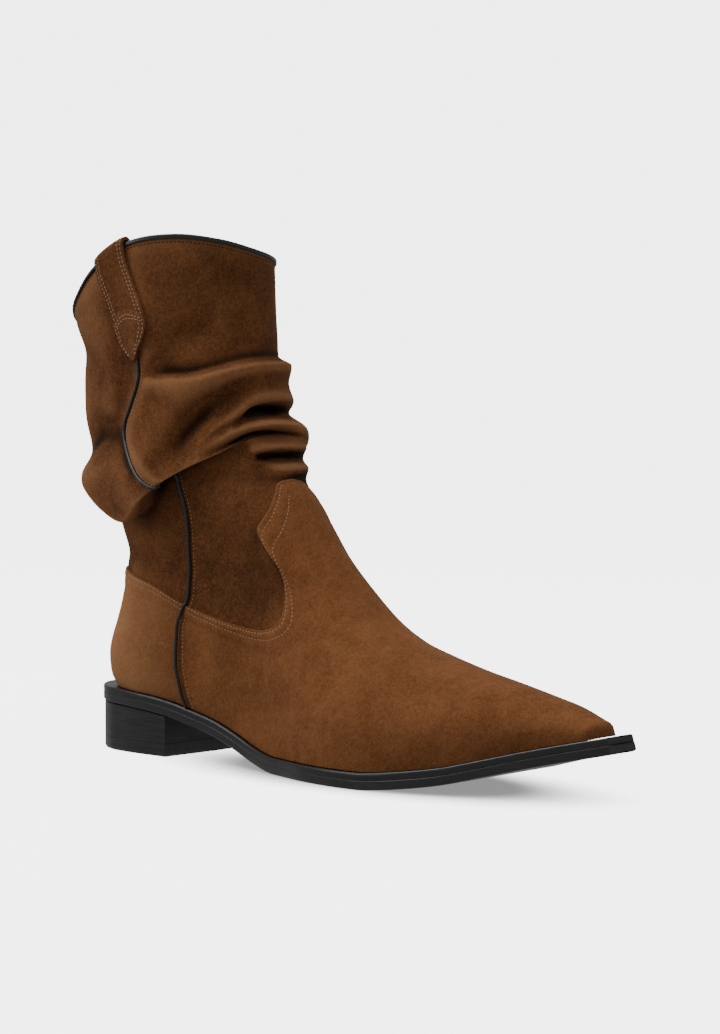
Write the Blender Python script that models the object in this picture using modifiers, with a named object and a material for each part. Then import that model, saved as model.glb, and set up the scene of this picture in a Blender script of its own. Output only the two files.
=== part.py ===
# Slouch boot: a pointed right boot with a low block heel and a soft shaft that has sunk into folds.
# Metres, +X towards the toe, +Y towards the inner side, +Z up. The origin is on the floor under the
# middle of the heel. A place on the upper is a turn (0 back, 1 front by the outer side, 2 back again
# by the inner side) and a level (0 sole edge, 1 ankle, 2 collar).
from collections import namedtuple

import bpy
import bmesh
import numpy as np
from mathutils import Vector
from mathutils.geometry import delaunay_2d_cdt

# Driving sizes of the sole and heel
SOLE_LENGTH = 0.2885
BALL_WIDTH = 0.088
WAIST_WIDTH = 0.056
SEAT_WIDTH = 0.059
TIP_WIDTH = 0.0135
TIP_LEAN = 0.0022
HEEL_LENGTH = 0.057
HEEL_HEIGHT = 0.0228
HEEL_INSET = 0.0005
HEEL_ROUNDING = 0.0014
TOP_PIECE_HEIGHT = 0.006
TOE_SPRING = 0.0205
OUTSOLE_THICKNESS = 0.0036
WELT_THICKNESS = 0.0032
EDGE_ROUNDING = 0.0007
FIT_GAP = 0.0003

# Driving sizes of the upper
LEDGE_BACK = 0.0062
LEDGE_SIDE = 0.0022
LEDGE_TOE = 0.009
ANKLE_HEIGHT = 0.112
THROAT_HEIGHT = 0.124
COLLAR_BACK = 0.197
COLLAR_FRONT = 0.227
COLLAR_PEAK = 0.233
SHAFT_WIDTH = 0.082
WALL = 0.0018
OVERLAY_THICKNESS = 0.0011
OVERLAY_BEVEL = 0.0006
HEEL_ROUND = 0.027
TOE_ROUND = 0.007
RIDGE_SHIFT = 0.003
INSOLE_THICKNESS = 0.0025
INSOLE_CLEARANCE = 0.0010
INSOLE_TAPER = 0.0014
INSOLE_TOE_GAP = 0.009

# Driving sizes of the folds' main lobe
LOBE_OUT = 0.010
LOBE_SAG = 0.010
LOBE_LOW = 0.0065
LOBE_HIGH = 0.018

# Driving sizes of the trims
BINDING_THICKNESS = 0.0009
BINDING_DEPTH = 0.0012
STRAP_WIDTH = 0.0195
STRAP_THICKNESS = 0.0016
STRAP_TIP_WIDTH = 0.003
STRAP_INSIDE = 0.032
STRAP_LEAN = 0.018
PIPING_RADIUS = 0.0009
TRIM_GAP = 0.0004

# Mesh counts: columns round the upper, rings up the foot, the lobe, the folds and the top, stations
# of the sole, and the levels that the lobe's and folds' rings cover below and above the lobe's crest.
# The overlay's faces are spread over the lengths of one turn and one ring, and keep clear of its step.
# The inner wall's direction is the mean over the levels smoothed above and below.
COLUMNS = 48
FOOT_RINGS = 13
LOBE_RINGS = 7
FOLD_RINGS = 13
TOP_RINGS = 6
LOBE_BAND = 0.16
FOLD_BAND = 0.40
STATIONS = 28
EDGE_POINTS = 76
PIPING_POINTS = 17
TURN_LENGTH = 0.150
RING_HEIGHT = 0.0070
STEP_CLEARANCE = 0.0022
SMOOTHED = 0.03

Outline = namedtuple("Outline", "turn along width outer inner")
Side = namedtuple("Side", "along lift of")
Section = namedtuple("Section", "level back front front_rise flat round swell half wave")
Collar = namedtuple("Collar", "turn peak")
Lobe = namedtuple("Lobe", "turn edge out")
Fold = namedtuple("Fold", "start end first middle last out low high sag")
Edge = namedtuple("Edge", "turn level")
Strap = namedtuple("Strap", "turn level width")
Seam = namedtuple("Seam", "turn level")

# Plan of the sole, back to toe: share along it, the width it follows, and the half on each side
OUTLINE = [
    Outline(0.000, 0.000, SEAT_WIDTH, 0.000, 0.000),
    Outline(0.028, 0.002, SEAT_WIDTH, 0.153, 0.153),
    Outline(0.054, 0.010, SEAT_WIDTH, 0.288, 0.288),
    Outline(0.080, 0.029, SEAT_WIDTH, 0.398, 0.390),
    Outline(0.106, 0.055, SEAT_WIDTH, 0.466, 0.454),
    Outline(0.140, 0.093, SEAT_WIDTH, 0.497, 0.485),
    Outline(0.237, 0.200, SEAT_WIDTH, 0.508, 0.485),
    Outline(0.312, 0.285, WAIST_WIDTH, 0.527, 0.455),
    Outline(0.390, 0.371, WAIST_WIDTH, 0.557, 0.446),
    Outline(0.468, 0.456, BALL_WIDTH, 0.415, 0.332),
    Outline(0.548, 0.542, BALL_WIDTH, 0.489, 0.417),
    Outline(0.610, 0.611, BALL_WIDTH, 0.511, 0.475),
    Outline(0.672, 0.680, BALL_WIDTH, 0.489, 0.489),
    Outline(0.736, 0.748, BALL_WIDTH, 0.420, 0.440),
    Outline(0.802, 0.817, BALL_WIDTH, 0.332, 0.349),
    Outline(0.869, 0.885, BALL_WIDTH, 0.239, 0.252),
    Outline(0.926, 0.944, BALL_WIDTH, 0.150, 0.161),
    Outline(0.982, 0.998, TIP_WIDTH, 0.500, 0.500),
]

# Underside of the sole seen from the side: seat, arch, flat tread and toe spring
SIDE = [
    Side(0.000, 1.000, HEEL_HEIGHT),
    Side(0.055, 0.965, HEEL_HEIGHT),
    Side(0.117, 0.921, HEEL_HEIGHT),
    Side(0.165, 0.868, HEEL_HEIGHT),
    Side(0.209, 0.789, HEEL_HEIGHT),
    Side(0.256, 0.658, HEEL_HEIGHT),
    Side(0.299, 0.530, HEEL_HEIGHT),
    Side(0.343, 0.350, HEEL_HEIGHT),
    Side(0.391, 0.140, HEEL_HEIGHT),
    Side(0.439, 0.013, HEEL_HEIGHT),
    Side(0.474, 0.000, HEEL_HEIGHT),
    Side(0.560, 0.000, HEEL_HEIGHT),
    Side(0.645, 0.000, TOE_SPRING),
    Side(0.707, 0.085, TOE_SPRING),
    Side(0.767, 0.215, TOE_SPRING),
    Side(0.820, 0.400, TOE_SPRING),
    Side(0.872, 0.590, TOE_SPRING),
    Side(0.923, 0.760, TOE_SPRING),
    Side(0.975, 0.920, TOE_SPRING),
    Side(1.000, 1.000, TOE_SPRING),
]

# Rings of the upper: back and front as shares of the foot's length, height of the front, how flat
# and how round the ring is, swell of the counter, half width of the tube, share of the collar's wave
SECTIONS = [
    Section(0.000, 0.000, 1.000, 0.000, 0.00, 0.00, 1.00, 0.75, 0.00),
    Section(0.051, -0.008, 0.991, 0.044, 0.04, 0.00, 1.06, 0.75, 0.00),
    Section(0.129, -0.011, 0.971, 0.071, 0.10, 0.00, 1.10, 0.75, 0.00),
    Section(0.202, -0.010, 0.934, 0.108, 0.18, 0.00, 1.12, 0.75, 0.00),
    Section(0.287, -0.002, 0.883, 0.139, 0.28, 0.00, 1.13, 0.75, 0.00),
    Section(0.371, 0.008, 0.817, 0.177, 0.40, 0.00, 1.12, 0.75, 0.00),
    Section(0.456, 0.016, 0.735, 0.222, 0.52, 0.00, 1.10, 0.75, 0.00),
    Section(0.540, 0.021, 0.664, 0.275, 0.64, 0.00, 1.07, 0.75, 0.00),
    Section(0.625, 0.024, 0.601, 0.338, 0.76, 0.05, 1.05, 0.75, 0.00),
    Section(0.698, 0.022, 0.549, 0.437, 0.86, 0.15, 1.04, 0.75, 0.00),
    Section(0.758, 0.020, 0.510, 0.550, 0.94, 0.30, 1.03, 0.76, 0.00),
    Section(0.819, 0.009, 0.474, 0.660, 1.00, 0.50, 1.03, 0.77, 0.00),
    Section(0.879, -0.001, 0.436, 0.789, 1.00, 0.70, 1.03, 0.78, 0.00),
    Section(0.940, -0.005, 0.398, 0.910, 1.00, 0.90, 1.03, 0.81, 0.00),
    Section(1.000, -0.008, 0.367, 1.000, 1.00, 1.00, 1.03, 0.83, 0.00),
    Section(1.069, -0.012, 0.350, 1.071, 1.00, 1.00, 1.03, 0.86, 0.00),
    Section(1.184, -0.020, 0.332, 1.173, 1.00, 1.00, 1.03, 0.90, 0.00),
    Section(1.379, -0.035, 0.310, 1.327, 1.00, 1.00, 1.03, 0.93, 0.05),
    Section(1.575, -0.053, 0.294, 1.490, 1.00, 1.00, 1.03, 0.95, 0.25),
    Section(1.782, -0.077, 0.285, 1.673, 1.00, 1.00, 1.03, 0.99, 0.60),
    Section(2.000, -0.101, 0.284, 2.000, 1.00, 1.00, 1.03, 0.97, 1.00),
]

# Collar line round the shaft, as a share of its rise from the back to the peak
COLLAR = [
    Collar(0.00, 0.00),
    Collar(0.12, 0.04),
    Collar(0.22, 0.16),
    Collar(0.32, 0.34),
    Collar(0.43, 0.64),
    Collar(0.57, 0.93),
    Collar(0.71, 1.00),
    Collar(0.86, 0.94),
    Collar(1.00, 0.84),
    Collar(1.18, 0.76),
    Collar(1.38, 0.68),
    Collar(1.55, 0.52),
    Collar(1.72, 0.28),
    Collar(1.88, 0.06),
]

# Lower edge of the main lobe, as a share of the way from ankle height to collar peak, and its size
LOBE = [
    Lobe(0.00, 0.050, 1.00),
    Lobe(0.18, 0.041, 1.00),
    Lobe(0.29, -0.017, 0.85),
    Lobe(0.38, -0.050, 0.75),
    Lobe(0.47, -0.025, 0.85),
    Lobe(0.56, 0.050, 1.00),
    Lobe(0.65, 0.116, 1.00),
    Lobe(0.80, 0.207, 0.85),
    Lobe(0.92, 0.273, 0.65),
    Lobe(1.05, 0.298, 0.55),
    Lobe(1.20, 0.264, 0.45),
    Lobe(1.40, 0.174, 0.60),
    Lobe(1.60, 0.074, 0.80),
    Lobe(1.80, 0.041, 0.90),
]

# Ridges and troughs above the lobe: turns where each starts and ends, heights at its start, middle
# and end as for the lobe, and its depth, lower and upper band and sag as shares of the lobe's depth
FOLDS = [
    Fold(0.56, 1.50, 0.455, 0.521, 0.446, 0.50, 0.60, 0.35, 0.30),
    Fold(0.48, 1.30, 0.165, 0.430, 0.463, -0.45, 0.50, 0.50, 0.00),
    Fold(0.70, 1.45, 0.264, 0.405, 0.331, 0.40, 0.40, 0.50, 0.20),
    Fold(0.87, 1.24, 0.322, 0.355, 0.331, -0.60, 0.25, 0.25, 0.00),
    Fold(0.85, 1.55, 0.298, 0.331, 0.231, 0.50, 0.60, 0.40, 0.10),
    Fold(0.95, 1.60, 0.174, 0.223, 0.149, 0.45, 0.70, 0.60, 0.10),
    Fold(-0.50, 0.42, 0.331, 0.306, 0.314, -0.50, 0.70, 0.70, 0.00),
]

# Upper edge of the counter and vamp overlay, from the back seam to the middle of the throat
OVERLAY = [
    Edge(0.000, 0.676),
    Edge(0.120, 0.668),
    Edge(0.270, 0.634),
    Edge(0.365, 0.565),
    Edge(0.430, 0.536),
    Edge(0.495, 0.534),
    Edge(0.572, 0.554),
    Edge(0.650, 0.608),
    Edge(0.720, 0.680),
    Edge(0.758, 0.744),
    Edge(0.764, 0.798),
    Edge(0.748, 0.850),
    Edge(0.756, 0.884),
    Edge(0.824, 0.924),
    Edge(0.884, 0.964),
    Edge(0.930, 0.998),
    Edge(1.000, 1.010),
]

# Middle line and width of the pull strap on the outside of the shaft, from the collar to its tip
STRAP = [
    Strap(0.505, 1.980, 1.00),
    Strap(0.516, 1.920, 1.00),
    Strap(0.540, 1.860, 0.98),
    Strap(0.562, 1.790, 0.96),
    Strap(0.566, 1.730, 0.94),
    Strap(0.562, 1.680, 0.62),
    Strap(0.570, 1.640, 0.15),
]

# Side seam under the strap, down to the edge of the main lobe
SHAFT_SEAM = [
    Seam(0.572, 1.620),
    Seam(0.566, 1.556),
    Seam(0.532, 1.478),
    Seam(0.494, 1.400),
    Seam(0.489, 1.360),
    Seam(0.508, 1.322),
    Seam(0.544, 1.282),
]

# Side seam below the folds, down to the sole
FOOT_SEAM = [
    Seam(0.600, 0.965),
    Seam(0.572, 0.925),
    Seam(0.474, 0.776),
    Seam(0.412, 0.654),
    Seam(0.366, 0.548),
    Seam(0.324, 0.430),
    Seam(0.304, 0.312),
    Seam(0.294, 0.174),
    Seam(0.290, 0.030),
]

FOOT_BACK = LEDGE_BACK
FOOT_LENGTH = SOLE_LENGTH - LEDGE_BACK - LEDGE_TOE
ORIGIN = np.array([HEEL_LENGTH / 2, 0.0, 0.0])


def smooth(xs, ys, x):
    """Smooth curve through the points (xs, ys), held level past both ends."""
    xs = np.asarray(xs, float)
    ys = np.asarray(ys, float)
    slopes = np.gradient(ys, xs)
    x = np.clip(x, xs[0], xs[-1])
    i = np.clip(np.searchsorted(xs, x, side="right") - 1, 0, len(xs) - 2)
    step = xs[i + 1] - xs[i]
    t = (x - xs[i]) / step
    rise = t * t * (3 - 2 * t)
    bend = step * t * (1 - t) * ((1 - t) * slopes[i] - t * slopes[i + 1])
    return ys[i] * (1 - rise) + ys[i + 1] * rise + bend


def column(rows, name):
    return np.array([getattr(row, name) for row in rows])


def around(rows, name, turn):
    """A table's column read all the way round the boot, with no break at the back."""
    turns = column(rows, "turn")
    values = np.tile(column(rows, name), 3)
    return smooth(np.concatenate([turns - 2, turns, turns + 2]), values, turn % 2)


def half_width(along, outer_side):
    """Half width of the sole at a share of its length."""
    alongs = column(OUTLINE, "along")
    widths = column(OUTLINE, "width")
    outer = smooth(alongs, widths * column(OUTLINE, "outer"), along)
    inner = smooth(alongs, widths * column(OUTLINE, "inner"), along)
    return np.where(outer_side, outer, inner)


def underside(x):
    """Height of the outsole's lower face at a distance from the back of the sole."""
    lifts = column(SIDE, "lift") * column(SIDE, "of")
    return np.maximum(smooth(column(SIDE, "along"), lifts, x / SOLE_LENGTH), 0.0)


def seat(x):
    """Height on which the upper stands, one fit gap above the welt."""
    return underside(x) + OUTSOLE_THICKNESS + WELT_THICKNESS + 2 * FIT_GAP


def climb(share, low, middle, high):
    """Height at a share of the way: 0 to 1 from low to middle, 1 to 2 from middle to high."""
    return np.where(share < 1, low + (middle - low) * share, middle + (high - middle) * (share - 1))


def ring_at(level):
    """The values of SECTIONS at a level, with the ring's back and front points."""
    levels = column(SECTIONS, "level")
    ring = {name: smooth(levels, column(SECTIONS, name), level) for name in Section._fields[1:]}
    toe = FOOT_BACK + FOOT_LENGTH
    ring["back_x"] = FOOT_BACK + ring["back"] * FOOT_LENGTH
    ring["front_x"] = FOOT_BACK + ring["front"] * FOOT_LENGTH
    ring["back_z"] = climb(level, seat(FOOT_BACK), ANKLE_HEIGHT, COLLAR_BACK)
    ring["front_z"] = climb(ring["front_rise"], seat(toe), THROAT_HEIGHT, COLLAR_FRONT)
    return ring


def ridge_height(x):
    """Height of the vamp's top line, carried on steeply behind the throat."""
    ring = ring_at(np.linspace(0.0, 1.0, 60))
    behind = np.maximum(ring["front_x"][-1] - x, 0.0)
    steepness = 2.2
    return np.interp(x, ring["front_x"][::-1], ring["front_z"][::-1]) + steepness * behind


def plain_form(turn, level):
    """Point on the boot's outside as lasted, with the shaft still smooth."""
    turn, level = np.broadcast_arrays(np.asarray(turn, float) % 2, np.asarray(level, float))
    share = 1 - np.abs(turn - 1)
    outer_side = turn < 1
    ring = ring_at(level)
    ellipse = (1 - np.cos(np.pi * share)) / 2
    even = 0.45 * share + 0.55 * ellipse
    along = even + (ellipse - even) * ring["round"]
    x = ring["back_x"] + (ring["front_x"] - ring["back_x"]) * along
    chord = ring["back_z"] + (ring["front_z"] - ring["back_z"]) * along
    seat_chord = seat(ring["back_x"]) + (seat(ring["front_x"]) - seat(ring["back_x"])) * along
    peak = COLLAR_BACK + (COLLAR_PEAK - COLLAR_BACK) * around(COLLAR, "peak", turn)
    collar_chord = COLLAR_BACK + (COLLAR_FRONT - COLLAR_BACK) * along
    z = chord + (1 - ring["flat"]) * (seat(x) - seat_chord) + ring["wave"] * (peak - collar_chord)
    # Dome of the vamp: full at the sole's edge, closed at the top line, rounder towards the toe
    height = np.clip((z - seat(x)) / np.maximum(ridge_height(x) - seat(x), 1e-6), 0, 1)
    dome = np.interp(x / SOLE_LENGTH, [0.38, 0.52, 0.65, 1.0], [3.4, 2.4, 2.1, 2.0])
    nose = np.maximum(height ** (dome / 2), 1 - np.clip((ring["front_x"] - x) / TOE_ROUND, 0, 1))
    heel = 1 - np.clip((x - ring["back_x"]) / HEEL_ROUND, 0, 1)
    rear = np.clip((0.41 - x / SOLE_LENGTH) / 0.2, 0, 1)
    width = half_width(np.maximum(x / SOLE_LENGTH, 0.1), outer_side) - LEDGE_SIDE
    width = width * (1 + (ring["swell"] - 1) * rear)
    half = width * np.sqrt(1 - heel ** 2) * np.sqrt(np.maximum(1 - nose ** 2, 0))
    tube = ring["half"] * SHAFT_WIDTH / 2 * np.sin(np.pi * share)
    half = half + (tube - half) * ring["round"]
    arc = np.sin(np.pi * np.clip((x - FOOT_BACK) / FOOT_LENGTH, 0, 1))
    lean = RIDGE_SHIFT * height ** 2 * arc * (1 - ring["round"])
    y = np.where(outer_side, -half, half) + lean
    return np.stack([x, y, z], -1)


def normals(form, turn, level):
    """Unit normals of a form, pointing out of the boot."""
    step = 1e-4
    low = np.clip(level - step, 0, 2)
    high = np.clip(level + step, 0, 2)
    across = form(turn + step, level) - form(turn - step, level)
    up = form(turn, high) - form(turn, low)
    normal = np.cross(across, up)
    return normal / np.maximum(np.linalg.norm(normal, axis=-1, keepdims=True), 1e-12)


def bump(height, crest, low, high):
    """Soft ridge, 1 at its crest, with its own width below and above."""
    gap = height - crest
    return np.exp(-0.5 * (gap / np.where(gap < 0, low, high)) ** 2)


def fold_shift(turn, height):
    """How far the folds push the shaft out and let it sag, at a turn and a height."""
    leg = COLLAR_PEAK - ANKLE_HEIGHT
    edge = ANKLE_HEIGHT + leg * around(LOBE, "edge", turn)
    size = around(LOBE, "out", turn)
    hang = 1.05 * LOBE_SAG * size
    size = size * bump(height, edge + hang, LOBE_LOW, LOBE_HIGH)
    out = LOBE_OUT * size
    sag = LOBE_SAG * size
    for fold in FOLDS:
        t = np.clip(((turn - fold.start) % 2) / (fold.end - fold.start), 0, 1)
        crest = fold.first * (1 - t) * (1 - 2 * t) + 4 * fold.middle * t * (1 - t)
        crest = ANKLE_HEIGHT + leg * (crest + fold.last * t * (2 * t - 1)) + fold.sag * LOBE_OUT
        size = bump(height, crest, fold.low * LOBE_OUT, fold.high * LOBE_OUT) * np.sin(np.pi * t) ** 0.7
        out = out + fold.out * LOBE_OUT * size
        sag = sag + fold.sag * LOBE_OUT * size
    return out, sag


def crest_level(turn):
    """Level of the main lobe's crest."""
    levels = np.linspace(1.0, 2.0, 41)
    heights = plain_form(np.asarray(turn)[..., None], levels)[..., 2]
    edge = ANKLE_HEIGHT + (COLLAR_PEAK - ANKLE_HEIGHT) * around(LOBE, "edge", turn)
    crest = edge + 1.05 * LOBE_SAG * around(LOBE, "out", turn)
    below = np.clip((heights < crest[..., None]).sum(-1) - 1, 0, len(levels) - 2)
    low, high = (np.take_along_axis(heights, (below + k)[..., None], -1)[..., 0] for k in (0, 1))
    return levels[below] + np.clip((crest - low) / (high - low), 0, 1) * (levels[1] - levels[0])


def level_of(turn, ring):
    """Level of a place between the mesh's rings, which follow the lobe round the boot."""
    crest = crest_level(turn)
    ends = np.cumsum([0, FOOT_RINGS, LOBE_RINGS, FOLD_RINGS, TOP_RINGS])
    shares = [np.clip((ring - a) / (b - a), 0, 1) for a, b in zip(ends, ends[1:])]
    level = (crest - LOBE_BAND) * shares[0] + LOBE_BAND * (1 - (1 - shares[1]) ** 1.3)
    return level + FOLD_BAND * shares[2] ** 1.15 + (2 - crest - FOLD_BAND) * shares[3]


def outside(turn, level):
    """Point on the outside of the upper, with its folds."""
    turn, level = np.broadcast_arrays(np.asarray(turn, float), np.asarray(level, float))
    points = plain_form(turn, level)
    out, sag = fold_shift(turn, points[..., 2])
    soft = np.clip((level - 0.9) / 0.1, 0, 1)
    sideways = normals(plain_form, turn, level) * np.array([1.0, 1.0, 0.0])
    sideways /= np.maximum(np.linalg.norm(sideways, axis=-1, keepdims=True), 1e-9)
    points = points + sideways * (out * soft)[..., None]
    points[..., 2] -= sag * soft
    return points


def raised(turn, level, lift):
    """Point at a distance outside the upper, or inside it where the lift is negative."""
    lift = np.broadcast_to(np.asarray(lift, float), np.broadcast(turn, level).shape)
    return outside(turn, level) + normals(outside, turn, level) * lift[..., None]


def add_object(name, verts, faces, color, roughness, metallic=0.0):
    mesh = bpy.data.meshes.new(name)
    mesh.from_pydata([tuple(v) for v in np.asarray(verts) - ORIGIN], [], faces)
    built = bmesh.new()
    built.from_mesh(mesh)
    bmesh.ops.remove_doubles(built, verts=built.verts, dist=1e-6)
    built.to_mesh(mesh)
    built.free()
    mesh.shade_smooth()
    mesh.set_sharp_from_angle(angle=0.7)
    piece = bpy.data.objects.new(name, mesh)
    boot.objects.link(piece)
    finish(piece, color, roughness, metallic)
    return piece


def finish(piece, color, roughness, metallic=0.0):
    material = bpy.data.materials.new(piece.name)
    material.use_nodes = True
    shader = material.node_tree.nodes["Principled BSDF"]
    shader.inputs["Base Color"].default_value = (*color, 1.0)
    shader.inputs["Roughness"].default_value = roughness
    shader.inputs["Metallic"].default_value = metallic
    piece.data.materials.append(material)


def stack(loops):
    """Closed body from level loops, each listed down one side and back up the other."""
    count = len(loops[0])
    verts = np.concatenate(loops)
    faces = []
    for k in range(len(loops) - 1):
        low = k * count
        high = low + count
        for j in range(count):
            after = (j + 1) % count
            faces.append((low + j, low + after, high + after, high + j))
    top = (len(loops) - 1) * count
    for j in range(count // 2 - 1):
        far = count - 1 - j
        faces.append((j, far, far - 1, j + 1))
        faces.append((top + j, top + j + 1, top + far - 1, top + far))
    return verts, faces


def sole_loop(rise, inset, length=None, floor=None):
    """Loop round the sole at a rise above its underside, or round the heel up to a length."""
    turns = (np.arange(STATIONS) + 0.5) / STATIONS
    if length is not None:
        reach = np.interp(length / SOLE_LENGTH, column(OUTLINE, "along"), column(OUTLINE, "turn"))
        turns = reach * (np.arange(STATIONS // 2) + 0.5) / (STATIONS // 2 - 0.5)
    alongs = smooth(column(OUTLINE, "turn"), column(OUTLINE, "along"), turns)
    widths = column(OUTLINE, "width")
    lean = TIP_LEAN * rise / (OUTSOLE_THICKNESS + WELT_THICKNESS)
    x = inset + alongs * (SOLE_LENGTH - 2 * inset - lean)
    if length is not None:
        x = inset + alongs / alongs[-1] * (length - inset)
    z = underside(x) + rise if floor is None else np.full_like(x, floor)
    sides = []
    for name, sign in (("outer", -1), ("inner", 1)):
        half = smooth(column(OUTLINE, "turn"), widths * column(OUTLINE, name), turns)
        sides.append(np.stack([x, sign * np.maximum(half - inset, half / 2), z], -1))
    return np.concatenate([sides[0], sides[1][::-1]])


def plate(name, low, high, color, roughness):
    """Layer of the sole with softly rounded edges."""
    soft = EDGE_ROUNDING
    edge = ((low, soft), (low + soft, 0), (high - soft, 0), (high, soft))
    loops = [sole_loop(height, inset) for height, inset in edge]
    return add_object(name, *stack(loops), color, roughness)


def make_sole():
    welt_low = OUTSOLE_THICKNESS + FIT_GAP
    plate("outsole", 0, OUTSOLE_THICKNESS, (0.020, 0.019, 0.019), 0.38)
    plate("welt", welt_low, welt_low + WELT_THICKNESS, (0.012, 0.011, 0.012), 0.30)


def make_heel():
    soft = HEEL_ROUNDING
    half_gap = FIT_GAP / 2
    top_piece = [
        sole_loop(0, HEEL_INSET + soft, HEEL_LENGTH, 0),
        sole_loop(0, HEEL_INSET, HEEL_LENGTH, soft),
        sole_loop(0, HEEL_INSET, HEEL_LENGTH, TOP_PIECE_HEIGHT - half_gap),
    ]
    add_object("heel_top_piece", *stack(top_piece), (0.022, 0.021, 0.021), 0.50)
    block = [
        sole_loop(0, HEEL_INSET, HEEL_LENGTH, TOP_PIECE_HEIGHT + half_gap),
        sole_loop(-FIT_GAP, HEEL_INSET, HEEL_LENGTH),
    ]
    add_object("heel_block", *stack(block), (0.018, 0.017, 0.018), 0.36)


def make_insole():
    turns = np.arange(COLUMNS) * 2 / COLUMNS
    edge = plain_form(turns, np.zeros(COLUMNS))
    sideways = normals(plain_form, turns, np.zeros(COLUMNS)) * np.array([1.0, 1.0, 0.0])
    sideways /= np.linalg.norm(sideways, axis=-1, keepdims=True)
    toe = INSOLE_TOE_GAP * (1 - np.abs(turns - 1)) ** 6
    loops = []
    for rise, inset in ((FIT_GAP, INSOLE_CLEARANCE), (INSOLE_THICKNESS, INSOLE_CLEARANCE + INSOLE_TAPER)):
        loop = edge - sideways * (WALL + inset + toe)[:, None]
        loop[:, 2] = seat(loop[:, 0]) + rise
        loops.append(loop)
    add_object("insole", *stack(loops), (0.30, 0.20, 0.12), 0.75)


def overlay_edge(count, inset):
    """The overlay's upper edge all round, moved a distance down into the overlay."""
    steps = np.arange(len(OVERLAY))
    spots = np.linspace(0, len(OVERLAY) - 1, count)
    turn = smooth(steps, column(OVERLAY, "turn"), spots)
    level = smooth(steps, column(OVERLAY, "level"), spots)
    step = 1e-3
    across = np.linalg.norm(outside(turn + step, level) - outside(turn - step, level), axis=-1) / (2 * step)
    up = np.linalg.norm(outside(turn, level + step) - outside(turn, level - step), axis=-1) / (2 * step)
    run = np.gradient(turn) * across
    rise = np.gradient(level) * up
    size = np.hypot(run, rise)
    run[0] = run[-1] = size[0]
    rise[0] = rise[-1] = 0
    size = np.hypot(run, rise)
    turn = turn + inset * rise / size / across
    level = level - inset * run / size / up
    other = np.stack([2 - turn[-2::-1], level[-2::-1]], -1)
    return np.concatenate([np.stack([turn, level], -1), other])


def in_overlay(turn, level, spread=0.0):
    """Whether spots lie in the overlay, or within a distance above its edge."""
    half = 1 - np.abs(turn % 2 - 1)
    edge = overlay_edge(EDGE_POINTS // 2, -spread)[: EDGE_POINTS // 2]
    beyond = [[1.1, edge[-1, 1]], [1.1, -0.1], [-0.1, -0.1], [-0.1, edge[0, 1]]]
    ring = np.concatenate([edge, beyond])
    inside = np.zeros(half.shape, bool)
    for a, b in zip(ring, np.roll(ring, -1, axis=0)):
        spans = (a[1] > level) != (b[1] > level)
        slope = (b[0] - a[0]) / (b[1] - a[1] if b[1] != a[1] else 1e-12)
        inside ^= spans & (half < a[0] + slope * (level - a[1]))
    return inside


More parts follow.
